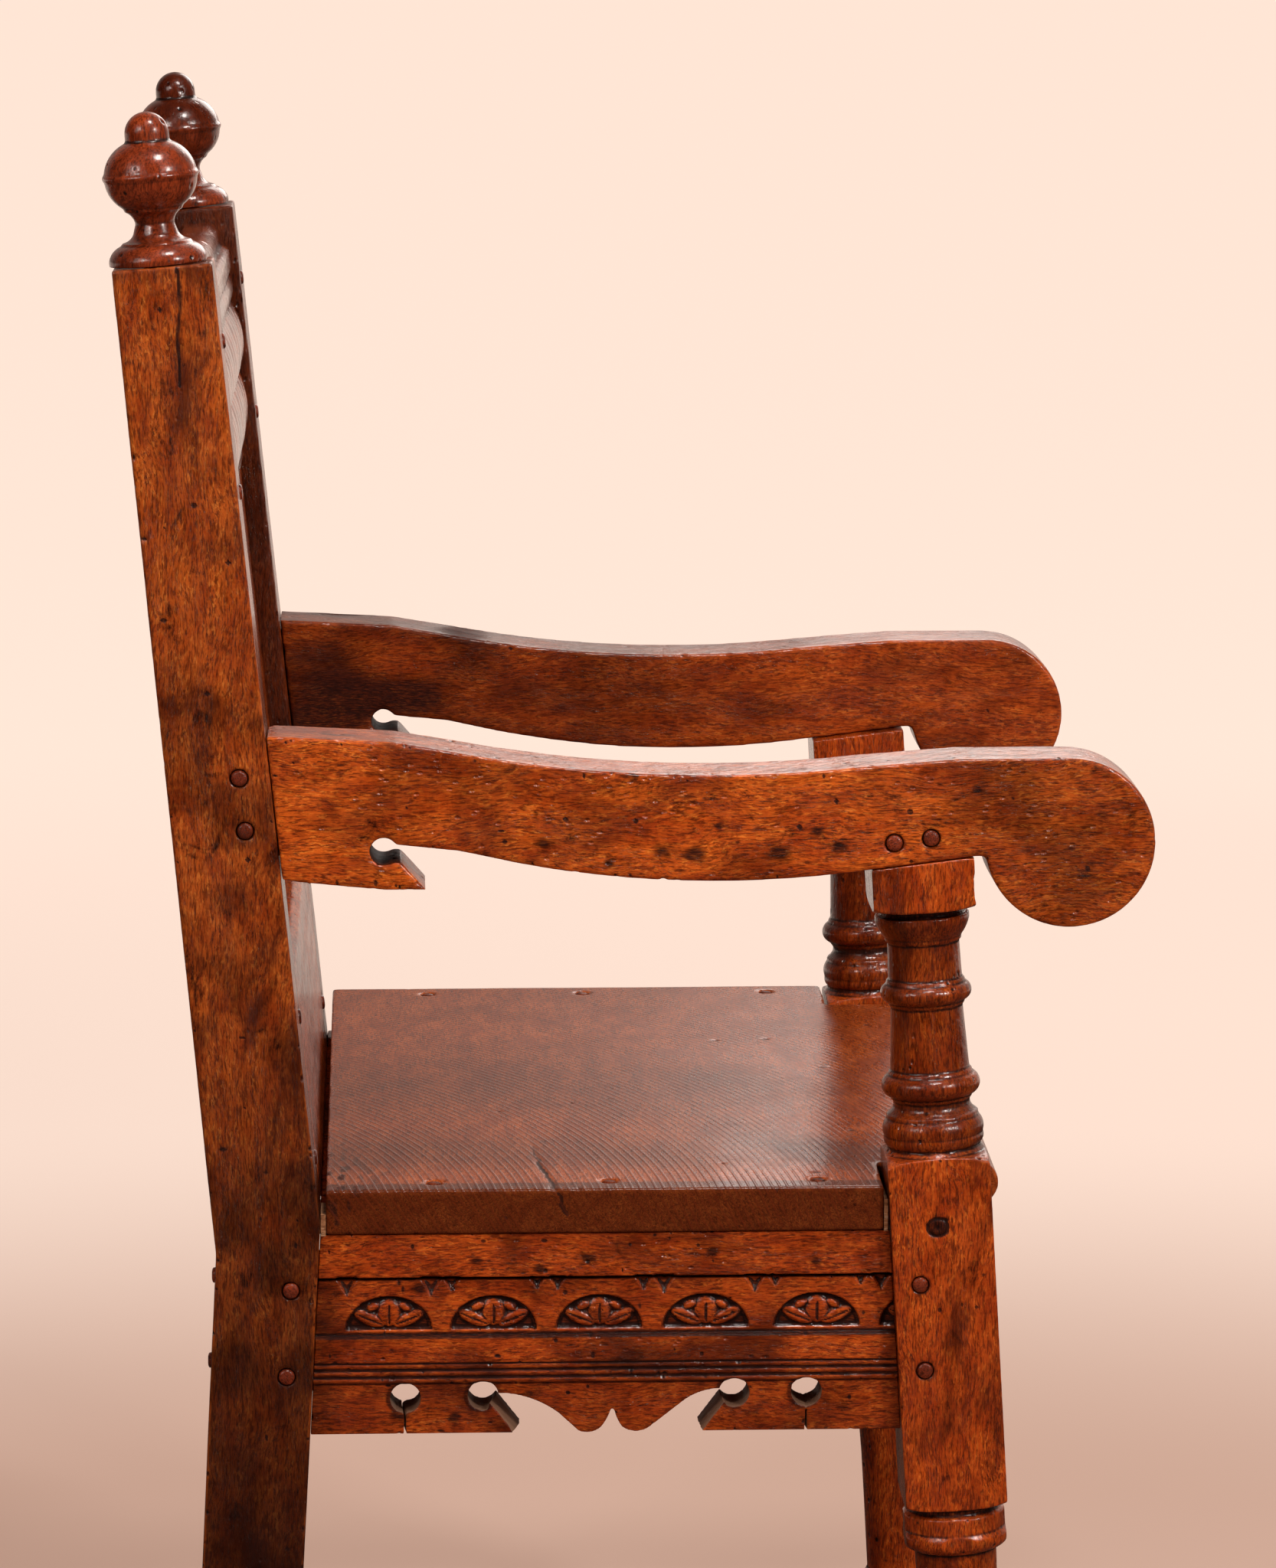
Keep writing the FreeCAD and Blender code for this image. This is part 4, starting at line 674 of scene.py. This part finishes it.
class Finish:
    """The nodes of a material or of the world, with short calls for what the finishes use."""

    def __init__(self, owner):
        owner.use_nodes = True
        self.tree = owner.node_tree
        self.tree.nodes.clear()

    def add(self, kind, inputs=(), **settings):
        node = self.tree.nodes.new(kind)
        for key, value in settings.items():
            setattr(node, key, value)
        for key, value in dict(inputs).items():
            if isinstance(value, bpy.types.NodeSocket):
                self.tree.links.new(value, node.inputs[key])
            else:
                node.inputs[key].default_value = value
        return node

    def maths(self, operation, a, b=0.0):
        return self.add("ShaderNodeMath", {0: a, 1: b}, operation=operation).outputs[0]

    def times(self, a, b):
        return self.maths("MULTIPLY", a, b)

    def mix(self, factor, a, b):
        return self.add("ShaderNodeMix", {0: factor, 6: a, 7: b}, data_type="RGBA").outputs[2]

    def attribute(self, name):
        return self.add("ShaderNodeAttribute", attribute_name=name).outputs["Fac"]

    def spread(self, value, low, high, start=0.0, end=1.0):
        """A value between low and high spread smoothly from start to end."""
        node = self.add("ShaderNodeMapRange", {"Value": value, "From Min": low, "From Max": high,
                                               "To Min": start, "To Max": end},
                        interpolation_type="SMOOTHSTEP")
        return node.outputs["Result"]

    def noise(self, place, scale, offset, detail=2.0, rough=0.5, distort=0.0):
        moved = self.add("ShaderNodeMapping", {"Vector": place, "Location": offset, "Scale": scale})
        node = self.add("ShaderNodeTexNoise", {"Vector": moved.outputs[0], "Scale": 1.0, "Detail": detail,
                                               "Roughness": rough, "Distortion": distort})
        return node.outputs[0]

    def spots(self, place, scale, offset, rim, share, amount=1.0):
        """Spots in some cells of a grid: a spot fades within rim, and share says which cells have one."""
        moved = self.add("ShaderNodeMapping", {"Vector": place, "Location": offset, "Scale": scale})
        cell = self.add("ShaderNodeTexVoronoi", {"Vector": moved.outputs[0], "Scale": 1.0, "Randomness": 1.0})
        chosen = self.add("ShaderNodeSeparateXYZ", {0: cell.outputs["Color"]}).outputs[0]
        return self.times(self.spread(cell.outputs["Distance"], *rim, 1.0, 0.0),
                          self.spread(chosen, *share, 0.0, amount))


# The oak's noises: how many times a metre they change across the fibres, twice, and along them
BEND_SCALE = (14, 14, 6)
GROWTH_SCALE = (115, 115, 5)
FIBRE_SCALE = (760, 760, 110)
STRAND_SCALE = (1300, 1300, 190)
PORE_SCALE = (1900, 1900, 210)
CLOUD_SCALE = (17, 17, 11)
MOTTLE_SCALE = (75, 75, 30)
STAIN_SCALE = (50, 50, 34)
RAY_SCALE = (48, 48, 210)
FLECK_SCALE = (640, 640, 200)
PIT_SCALE = (190, 190, 120)
CHIP_SCALE = (280, 280, 190)
PLANE_SCALE = (150, 150, 90)
SHEEN_SCALE = (60, 60, 40)
BEND = 0.035
SHIFT_STEP = (1.37, 0.71, 2.13)

# Heights of the relief that is finer than the mesh
FIBRE_RISE, PORE_DEPTH, PIT_DEPTH, CHIP_DEPTH = 0.09 * MM, 0.07 * MM, 0.6 * MM, 0.75 * MM
PLANE_RISE = 0.5 * MM
SAW_PITCH, SAW_RISE = 4.2 * MM, 0.10 * MM

# Sheen: how much smoother and rougher its unevenness makes it, and what dirt, bare wood and painted shade add
SMOOTHER, ROUGHER, DIRT_AND_SHADE_ROUGHNESS = 0.08, 0.14, 0.3
SPECULAR, COAT_IOR = 0.13, 1.42


def oak(name, along, colours, seed, rough=0.36, coat=0.6, stains=1.0, rays=1.0, relief=1.0, polish=1.0,
        fading=None, saw=None, pits=1.0, clouds=1.0, coat_rough=0.07):
    """Waxed old oak with its grain along an axis: fibres, pores, rays, clouds, stains and dirt.

    Colours are light, middle and dark. Relief is the depth of the fine unevenness and polish the unevenness
    of the sheen; fading is a pair of heights between which the wood darkens; saw is the middle of the arcs
    that a saw has left.
    """
    material = bpy.data.materials.new(name)
    f = Finish(material)
    light, mid, dark = colours
    where = f.add("ShaderNodeTexCoord").outputs["Object"]
    parts = f.add("ShaderNodeSeparateXYZ", {0: where})
    x, y, z = (parts.outputs[axis] for axis in range(3))
    across = {"X": (y, z, x), "Y": (x, z, y), "Z": (x, y, z)}[along]
    grain = f.add("ShaderNodeCombineXYZ", dict(enumerate(across))).outputs[0]
    shift = tuple(seed * step for step in SHIFT_STEP)
    turned, swapped, mirrored = ((shift[2], shift[0], shift[1]), (shift[1], shift[2], shift[0]),
                                 (shift[2], shift[1], shift[0]))
    bend = f.noise(grain, BEND_SCALE, shift, detail=3)
    bend = f.times(f.maths("SUBTRACT", bend, 0.5), BEND)
    bend = f.add("ShaderNodeCombineXYZ", {0: bend, 1: bend, 2: 0.0}).outputs[0]
    warped = f.add("ShaderNodeVectorMath", {0: grain, 1: bend}, operation="ADD").outputs[0]
    growth = f.noise(warped, GROWTH_SCALE, shift, detail=3, rough=0.6)
    fibre = f.noise(warped, FIBRE_SCALE, shift, detail=4, rough=0.66, distort=0.35)
    strand = f.noise(warped, STRAND_SCALE, turned, detail=2, rough=0.6)
    pores = f.noise(warped, PORE_SCALE, shift, detail=2, rough=0.6)
    pores = f.times(f.spread(pores, 0.55, 0.64), f.spread(growth, 0.4, 0.6, 0.35, 1.0))
    cloud = f.noise(grain, CLOUD_SCALE, shift, detail=5, rough=0.62, distort=0.5)
    mottle = f.noise(grain, MOTTLE_SCALE, swapped, detail=4, rough=0.6, distort=0.4)
    stain = f.noise(grain, STAIN_SCALE, shift, detail=6, rough=0.7, distort=0.7)
    stain = f.times(f.spread(stain, 0.57, 0.70), stains)
    ray = f.noise(warped, RAY_SCALE, shift, detail=3, rough=0.55, distort=0.5)
    ray = f.times(f.spread(ray, 0.50, 0.66), rays * 0.30)
    fleck = f.noise(warped, FLECK_SCALE, mirrored, detail=3, rough=0.6, distort=0.4)
    fleck = f.times(f.spread(fleck, 0.53, 0.66), f.spread(mottle, 0.40, 0.62, 0.15, 0.75))
    pit = f.spots(grain, PIT_SCALE, shift, (0.06, 0.30), (0.86, 0.90), pits)
    chip = f.spots(grain, CHIP_SCALE, shift, (0.05, 0.42), (0.86, 0.92))
    chip = f.times(chip, f.spread(cloud, 0.46, 0.56))
    cavity, wear, soot_and_shade, raw = (f.attribute(kind) for kind in ("cavity", "wear", "soot_and_shade", "raw"))
    # Colour
    black = (dark[0] * 0.20, dark[1] * 0.20, dark[2] * 0.25, 1)
    gold = (min(light[0] * 1.25, 0.84), light[1] * 1.8, light[2] * 2.4, 1)
    light, mid, dark = (*light, 1), (*mid, 1), (*dark, 1)
    colour = f.mix(f.spread(mottle, 0.32, 0.66, 0.15, 0.9), mid, light)
    colour = f.mix(f.spread(growth, 0.48, 0.66, 0.0, 0.40), colour, mid)
    colour = f.mix(ray, colour, light)
    colour = f.mix(f.spread(fibre, 0.46, 0.62, 0.0, 0.70), colour, dark)
    colour = f.mix(f.spread(strand, 0.50, 0.66, 0.0, 0.50), colour, dark)
    colour = f.mix(f.times(fleck, rays), colour, gold)
    colour = f.mix(f.spread(cloud, 0.46, 0.66, 0.0, 0.78 * clouds), colour, dark)
    colour = f.mix(f.times(pores, 0.60), colour, black)
    colour = f.mix(f.times(stain, f.spread(fibre, 0.35, 0.6, 0.55, 0.95)), colour, black)
    colour = f.mix(f.times(pit, 0.75), colour, black)
    if fading:
        colour = f.mix(f.spread(z, *fading, 0.0, 0.84), colour, black)
    dirt = f.times(f.spread(cavity, 0.05, 0.6), f.spread(fibre, 0.3, 0.6, 0.8, 1.0))
    colour = f.mix(f.times(dirt, 0.95), colour, black)
    rubbed = f.times(f.spread(wear, 0.4, 1.0), f.spread(mottle, 0.4, 0.65, 0.0, 0.45))
    colour = f.mix(rubbed, colour, light)
    # Blackened by dirt in cracks, pits and smudges, and by painted shade in holes, grounds, creases and on
    # the far post
    colour = f.mix(f.times(soot_and_shade, f.spread(strand, 0.3, 0.6, 0.8, 1.0)), colour, black)
    colour = f.mix(raw, colour, (*BARE, 1))
    # Relief finer than the mesh
    height = f.times(fibre, FIBRE_RISE * relief)
    for hollow, deep in ((pores, PORE_DEPTH), (pit, PIT_DEPTH), (chip, CHIP_DEPTH)):
        height = f.maths("SUBTRACT", height, f.times(hollow, deep * relief))
    plane = f.noise(grain, PLANE_SCALE, shift, detail=3, rough=0.6)
    height = f.maths("ADD", height, f.times(plane, PLANE_RISE * relief))
    if saw:
        arcs = f.add("ShaderNodeVectorMath", {0: where, 1: saw}, operation="DISTANCE").outputs["Value"]
        arcs = f.maths("SINE", f.times(arcs, 2 * math.pi / SAW_PITCH))
        arcs = f.times(f.spread(arcs, 0.1, 1.0), f.spread(cloud, 0.40, 0.56, 0.55, 1.0))
        height = f.maths("ADD", height, f.times(arcs, SAW_RISE))
        colour = f.mix(f.times(arcs, 0.55), colour, dark)
    bump = f.add("ShaderNodeBump", {"Height": height, "Strength": 1.0, "Distance": 1.0}).outputs[0]
    # Sheen: dull where it is dirty or bare and where shade is painted, with less wax there
    sheen = f.noise(grain, SHEEN_SCALE, swapped, detail=4, rough=0.65)
    matt = f.spread(sheen, 0.3, 0.7, rough - SMOOTHER * polish, rough + ROUGHER * polish)
    bare_dirty_and_shaded = f.maths("MAXIMUM", raw, f.spread(soot_and_shade, 0.78, 0.95))
    matt = f.maths("ADD", matt, f.times(f.maths("MAXIMUM", dirt, bare_dirty_and_shaded), DIRT_AND_SHADE_ROUGHNESS))
    shader = f.add("ShaderNodeBsdfPrincipled", {
        "Base Color": colour, "Roughness": matt, "Specular IOR Level": SPECULAR, "Normal": bump,
        "Coat Weight": f.times(f.spread(bare_dirty_and_shaded, 0.0, 1.0, 1.0, 0.1), coat), "Coat Roughness": coat_rough,
        "Coat IOR": COAT_IOR, "Coat Normal": bump})
    f.add("ShaderNodeOutputMaterial", {"Surface": shader.outputs[0]})
    return material


def dress(piece, material, node):
    """Gives a piece its finish and its place in the frame, and hides the CAD node that it stands for."""
    piece.data.materials.clear()
    piece.data.materials.append(material)
    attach(piece, "root")
    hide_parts(node)


def tone(red, green, blue):
    """An sRGB colour given as 0 to 255, in the linear values that a shader wants."""
    return tuple(v / 255 / 12.92 if v < 10.3 else ((v / 255 + 0.055) / 1.055) ** 2.4
                 for v in (red, green, blue))


# Colours of the oak: light, middle and dark, and of bare wood

HONEY = tone(216, 100, 28), tone(154, 52, 9), tone(58, 14, 2)
POST = tone(180, 86, 27), tone(132, 46, 7), tone(62, 17, 3)
RAIL = tone(190, 80, 20), tone(140, 44, 6), tone(62, 15, 2)
DEEP = tone(186, 82, 24), tone(138, 48, 11), tone(70, 20, 4)
SEAT = tone(180, 88, 36), tone(144, 62, 24), tone(92, 34, 12)
# A darker set of colours: on the far rear post it is painted shade, on the seat pins their own dark tone
DARK_PIN_AND_SHADED_POST = tone(132, 56, 22), tone(96, 33, 9), tone(48, 14, 3)
RED = tone(150, 60, 26), tone(106, 36, 14), tone(50, 15, 5)
PEG = tone(138, 54, 26), tone(98, 34, 16), tone(50, 15, 6)
PALE = tone(206, 150, 108), tone(160, 104, 68), tone(104, 60, 34)
BARE = tone(128, 96, 76)

POST_FADING = (0.74, 0.26)
SAW_MIDDLE = (-0.32, 0.56, 0.2)

oak_post = oak("oak_post", "Z", POST, 1, clouds=1.12, fading=POST_FADING)
# The far rear post takes the darker set as painted shade
oak_far_post_shaded = oak("oak_far_post_shaded", "Z", DARK_PIN_AND_SHADED_POST, 11)
oak_front_post = oak("oak_front_post", "Z", RAIL, 2, rough=0.32, coat=0.85, stains=0.8, clouds=1.1)
oak_arm = oak("oak_arm", "Y", HONEY, 3, pits=0.5, clouds=0.62)
oak_far_arm = oak("oak_far_arm", "Y", DEEP, 10, pits=0.0, stains=0.4, clouds=0.7)
oak_rail = oak("oak_rail", "Y", RAIL, 4, stains=0.8)
oak_cross = oak("oak_cross", "X", DEEP, 5, stains=0.6, clouds=0.75)
oak_crest = oak("oak_crest", "X", DEEP, 12, rough=0.24, coat=0.9, relief=0.3, polish=0.4)
oak_seat = oak("oak_seat", "X", SEAT, 6, rough=0.27, coat=0.25, relief=0.04, polish=0.2, stains=0.2,
               rays=0.3, clouds=0.4, saw=SAW_MIDDLE)
oak_finial = oak("oak_finial", "Z", RED, 7, rough=0.26, coat=0.9, rays=0.3, relief=0.4, coat_rough=0.16)
oak_pin = oak("oak_pin", "X", DARK_PIN_AND_SHADED_POST, 13, rough=0.5, coat=0.1, rays=0.2)
oak_peg = oak("oak_peg", "X", PEG, 8, rough=0.34, rays=0.2)
oak_wedge = oak("oak_wedge", "Y", PALE, 9, rough=0.6, coat=0.0)


# Pieces: name, node, voxel in millimetres, seed, finish, slot and how it is worn

FRONT_LUNETTES = 7
rear_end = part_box("rear_post_right")[0].y + RAIL_START * MM
front_end = rear_end - RAIL_LENGTH * MM
post_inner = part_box("front_post_right")[1].x
front_length = -2 * post_inner / MM
front_centres = tuple(front_length * (number + 0.5) / FRONT_LUNETTES for number in range(FRONT_LUNETTES))

PIECES = (
    ("rear_post_near", "rear_post_right", 1.1, 11, oak_post, "oak",
     dict(rounding=5, wear=0.85, sway=0.45, dents=340, dent=1.8, shape=rear_post_shape, soot_and_shade=rear_post_soot)),
    ("rear_post_far", "rear_post_left", 2.0, 12, oak_far_post_shaded, "oak",
     dict(rounding=4, wear=0.9, sway=0.5, dents=60, dent=3.0, soot_and_shade=far_post_painted_shade)),
    ("front_post_near", "front_post_right", 0.8, 13, oak_front_post, "oak",
     dict(rounding=2, wear=0.7, sway=0.25, dents=200, dent=1.8, shape=front_post_shape,
          soot_and_shade=front_post_soot)),
    ("front_post_far", "front_post_left", 1.0, 14, oak_front_post, "oak",
     dict(rounding=2, wear=0.7, sway=0.25, dents=100, dent=1.8, soot_and_shade=front_post_soot)),
    ("arm_near", "arm_right", 1.1, 15, oak_arm, "oak",
     dict(rounding=10, wear=0.95, sway=0.4, dents=260, dent=2.0, soot_and_shade=arm_smudges_and_painted_shade)),
    ("arm_far", "arm_left", 1.6, 16, oak_far_arm, "oak",
     dict(rounding=6, wear=0.9, sway=0.4, dents=50, dent=1.8, soot_and_shade=far_arm_darkening_and_painted_shade)),
    ("side_rail_near", "side_rail_right", 0.75, 17, oak_rail, "oak",
     dict(rounding=1, wear=0.6, sway=0.2, dents=240, dent=1.7, soot_and_shade=rail_smudges_and_painted_shade, raw=rail_raw,
          shape=relief_shape(0, -1, rear_end, LUNETTE_CENTRES, tips=True))),
    ("side_rail_far", "side_rail_left", 1.0, 18, oak_rail, "oak",
     dict(rounding=2, wear=0.6, sway=0.2, dents=60, dent=2.0,
          shape=relief_shape(0, 1, front_end, LUNETTE_CENTRES))),
    ("front_seat_rail", "front_rail", 1.0, 19, oak_cross, "oak",
     dict(rounding=2, wear=0.6, sway=0.2, dents=60, dent=2.0,
          shape=relief_shape(1, -1, post_inner, front_centres))),
    ("seat", "seat_board", 1.6, 20, oak_seat, "dark_oak",
     dict(rounding=3, wear=0.8, sway=0.12, dents=60, dent=1.8, shape=seat_shape, soot_and_shade=seat_soot)),
    ("finial_near", "finial_right", 0.8, 21, oak_finial, "dark_oak",
     dict(rounding=3, wear=0.6, sway=0.15, dents=25, dent=2.0)),
    ("finial_far", "finial_left", 0.9, 22, oak_finial, "dark_oak",
     dict(rounding=3, wear=0.6, sway=0.15, dents=25, dent=2.0)),
    ("crest", "crest_rail", 1.1, 23, oak_crest, "oak",
     dict(rounding=3, wear=0.7, sway=0.3, dents=40, shape=crest_shape)),
    ("lower_rail", "lower_back_rail", 1.3, 24, oak_cross, "oak",
     dict(rounding=3, wear=0.7, sway=0.3, dents=40, shape=lower_rail_shape)),
    ("panel", "back_panel", 2.0, 25, oak_cross, "oak", dict(rounding=2, sway=0.6, dents=20)),
    ("rear_seat_rail", "back_seat_rail", 2.0, 26, oak_cross, "oak", dict(rounding=4, sway=0.5, dents=30)),
    ("low_rail_near", "stretcher_right", 2.0, 27, oak_rail, "oak", dict(rounding=6, sway=0.5, dents=30)),
    ("low_rail_far", "stretcher_left", 2.0, 28, oak_rail, "oak", dict(rounding=6, sway=0.5, dents=30)),
    ("low_rail_front", "stretcher_front", 2.0, 29, oak_cross, "oak", dict(rounding=6, sway=0.5, dents=30)),
    ("low_rail_back", "stretcher_back", 2.0, 30, oak_cross, "oak", dict(rounding=6, sway=0.5, dents=30)),
)

for name, node, voxel, seed, material, slot, ways in PIECES:
    dress(worn(name, node, voxel * MM, seed, **ways), material, node)


# Pegs: whittled, a little out of round, with domed heads

PEG_SIDES = 18
PEG_UNEVENNESS = 0.07
# Their rings: millimetres from an end, and the share of the radius there
PEG_RINGS = ((0, 0.5), (0.25, 0.78), (0.8, 0.95), (2, 1.0))
PEG_SEED = 60


def peg_mesh(shape, points, rng):
    """Adds one peg along the longest direction of a solid's points."""
    centre = (points.max(0) + points.min(0)) / 2
    spread = np.linalg.eigh(np.cov((points - centre).T))[1]
    axis = spread[:, 2]
    side, up = spread[:, 0], spread[:, 1]
    along = (points - centre) @ axis
    radius = np.hypot((points - centre) @ side, (points - centre) @ up).max()
    low, high = along.min(), along.max()
    facets = radius * (1 - PEG_UNEVENNESS * rng.random(PEG_SIDES))
    facets = (facets + np.roll(facets, 1) + np.roll(facets, -1)) / 3
    rings = [(low + inward * MM, share) for inward, share in PEG_RINGS]
    rings += [(high - inward * MM, share) for inward, share in reversed(PEG_RINGS)]
    loops = []
    for place, share in rings:
        loop = []
        for number in range(PEG_SIDES):
            angle = 2 * math.pi * number / PEG_SIDES
            at = (centre + axis * place + side * math.cos(angle) * facets[number] * share
                  + up * math.sin(angle) * facets[number] * share)
            loop.append(shape.verts.new(at))
        loops.append(loop)
    for before, after in zip(loops, loops[1:]):
        for number in range(PEG_SIDES):
            other = (number + 1) % PEG_SIDES
            shape.faces.new((before[number], before[other], after[other], after[number]))
    for loop, place in ((loops[0], low), (loops[-1], high)):
        middle = shape.verts.new(centre + axis * place)
        for number in range(PEG_SIDES):
            shape.faces.new((loop[number], loop[(number + 1) % PEG_SIDES], middle))


def make_pegs(name, node, seed, material):
    """One piece with a peg for each solid of a CAD node."""
    rng = np.random.default_rng(seed)
    shape = bmesh.new()
    for points in islands(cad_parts[node].data):
        peg_mesh(shape, points, rng)
    bmesh.ops.recalc_face_normals(shape, faces=shape.faces)
    mesh = bpy.data.meshes.new(name)
    shape.to_mesh(mesh)
    shape.free()
    mesh.polygons.foreach_set("use_smooth", np.ones(len(mesh.polygons), bool))
    dress(new_piece(name, mesh), material, node)


for seed, (name, node) in enumerate((
        ("arm_peg_heads_near", "arm_pegs_right"), ("arm_peg_heads_far", "arm_pegs_left"),
        ("rail_peg_heads_near", "rail_pegs_right"), ("rail_peg_heads_far", "rail_pegs_left"),
        ("front_peg_heads", "front_rail_pegs"), ("back_peg_heads", "back_frame_pegs"),
        ("low_peg_heads", "stretcher_pegs"), ("seat_pin_heads", "seat_pins"))):
    make_pegs(name, node, PEG_SEED + seed, oak_pin if node == "seat_pins" else oak_peg)

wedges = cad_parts["seat_wedges"]
wedges.data.materials.clear()
wedges.data.materials.append(oak_wedge)


# Floor, light and camera: distances in metres from the chair's middle

FLOOR_HALF = 60.0
# The floor as the camera sees it near the chair, in the middle distance and far off; the near one is painted
# shade
FLOOR_NEAR_PAINTED_SHADE, FLOOR_MIDDLE, FLOOR_FAR = (0.30, 0.178, 0.135, 1), (0.67, 0.54, 0.465, 1), (0.90, 0.722, 0.618, 1)
FLOOR_FIRST_RISE, FLOOR_SECOND_RISE = (0.9, 2.3), (1.9, 5.0)
FLOOR_COLOUR, FLOOR_IN_REFLECTIONS = (0.36, 0.27, 0.225, 1), (0.07, 0.045, 0.035, 1)
BEYOND_CHAIR = (1.6, 3.6)

AIR = (1.0, 0.79, 0.685, 1)
# The bright wall in reflections: where along X and Y it starts and ends, and how bright it is there
WALL_ALONG_X = (0.3, 0.85, 0.015, 1.0)
WALL_ALONG_Y = (0.03, -0.09, 0.32, 0.68)
AIR_ON_SURFACES = 0.32

# Name, place, height of the target, width and length, and power
LAMPS = (
    ("lamp_front", (-2.3, -2.3, 2.3), 0.7, (1.1, 1.5), 18),
    ("lamp_key", (-2.4, -2.1, 2.5), 0.7, (0.45, 0.6), 56),
    ("lamp_rear", (-2.3, 2.6, 2.5), 0.7, (1.1, 1.5), 22),
    ("lamp_rear_key", (-2.6, 1.9, 2.6), 0.7, (0.35, 0.45), 20),
    ("lamp_top", (-1.0, -0.3, 3.0), 0.6, (0.45, 0.45), 32),
    ("lamp_far", (2.8, -0.9, 2.2), 0.6, (1.6, 1.6), 26),
)
LAMP_COLOUR = (1.0, 0.93, 0.88)

# Matched to the photo
CAMERA_PLACE = (-3.974, 0.1468, 1.3338)
CAMERA_DIRECTION = (0.98680, -0.03982, -0.15697)
LENS, SENSOR_WIDTH = 143.91, 36
SIGHT_END = 200


def plain_floor():
    """A pale floor: its paleness comes from its colour and what the camera sees, not from more light; near
    the chair what the camera sees is darker, a painted shade.
    """
    material = bpy.data.materials.new("floor_paper")
    f = Finish(material)
    where = f.add("ShaderNodeTexCoord").outputs["Object"]
    far = f.add("ShaderNodeVectorMath", {0: where}, operation="LENGTH").outputs["Value"]
    # Painted shade near the chair, paling through the middle colour to the far one
    glow_with_painted_shade = f.mix(f.spread(far, *FLOOR_FIRST_RISE), FLOOR_NEAR_PAINTED_SHADE, FLOOR_MIDDLE)
    glow_with_painted_shade = f.mix(f.spread(far, *FLOOR_SECOND_RISE), glow_with_painted_shade, FLOOR_FAR)
    path = f.add("ShaderNodeLightPath").outputs
    seen = f.mix(path["Is Glossy Ray"], FLOOR_COLOUR, FLOOR_IN_REFLECTIONS)
    paper = f.add("ShaderNodeBsdfDiffuse", {"Color": seen})
    shine = f.add("ShaderNodeEmission", {"Color": glow_with_painted_shade, "Strength": 1.0})
    both = f.add("ShaderNodeAddShader", {0: paper.outputs[0], 1: shine.outputs[0]})
    beyond = f.spread(f.add("ShaderNodeSeparateXYZ", {0: where}).outputs[0], *BEYOND_CHAIR, 0.0, 0.85)
    shown = f.maths("MAXIMUM", path["Is Camera Ray"], f.times(beyond, path["Is Glossy Ray"]))
    mixed = f.add("ShaderNodeMixShader", {0: shown, 1: paper.outputs[0], 2: both.outputs[0]})
    f.add("ShaderNodeOutputMaterial", {"Surface": mixed.outputs[0]})
    mesh = bpy.data.meshes.new("floor")
    mesh.from_pydata([(x * FLOOR_HALF, y * FLOOR_HALF, 0) for x, y in ((-1, -1), (1, -1), (1, 1), (-1, 1))],
                     [], [(0, 1, 2, 3)])
    floor = new_piece("floor", mesh)
    mesh.materials.append(material)


def studio():
    """Pale surroundings: a bright wall beyond the far side for reflections, and dim air elsewhere."""
    world = bpy.data.worlds.new("studio")
    bpy.context.scene.world = world
    f = Finish(world)
    where = f.add("ShaderNodeTexCoord").outputs["Generated"]
    parts = f.add("ShaderNodeSeparateXYZ", {0: where})
    wall = f.times(f.spread(parts.outputs[0], *WALL_ALONG_X), f.spread(parts.outputs[1], *WALL_ALONG_Y))
    path = f.add("ShaderNodeLightPath").outputs
    seen = f.maths("MAXIMUM", path["Is Camera Ray"], f.times(path["Is Glossy Ray"], wall))
    strength = f.maths("MAXIMUM", seen, f.times(path["Is Diffuse Ray"], AIR_ON_SURFACES))
    air = f.add("ShaderNodeBackground", {"Color": AIR, "Strength": strength})
    f.add("ShaderNodeOutputWorld", {"Surface": air.outputs[0]})


def placed(name, data, place, direction):
    """A lamp or a camera at a place, looking in a direction."""
    holder = bpy.data.objects.new(name, data)
    holder.location = place
    holder.rotation_euler = direction.to_track_quat("-Z", "Y").to_euler()
    bpy.context.scene.collection.objects.link(holder)
    return holder


def soft_lamp(name, place, target_height, size, power):
    lamp = bpy.data.lights.new(name, "AREA")
    lamp.shape = "RECTANGLE"
    lamp.size, lamp.size_y = size
    lamp.energy = power
    lamp.color = LAMP_COLOUR
    placed(name, lamp, place, Vector((0, 0, target_height)) - Vector(place))


def photo_camera():
    camera = bpy.data.cameras.new("camera")
    camera.lens = LENS
    camera.sensor_width = SENSOR_WIDTH
    camera.sensor_fit = "AUTO"
    camera.clip_end = SIGHT_END
    bpy.context.scene.camera = placed("camera", camera, CAMERA_PLACE, Vector(CAMERA_DIRECTION))


plain_floor()
studio()
for lamp_ways in LAMPS:
    soft_lamp(*lamp_ways)
photo_camera()
bpy.context.scene.view_settings.view_transform = "Standard"
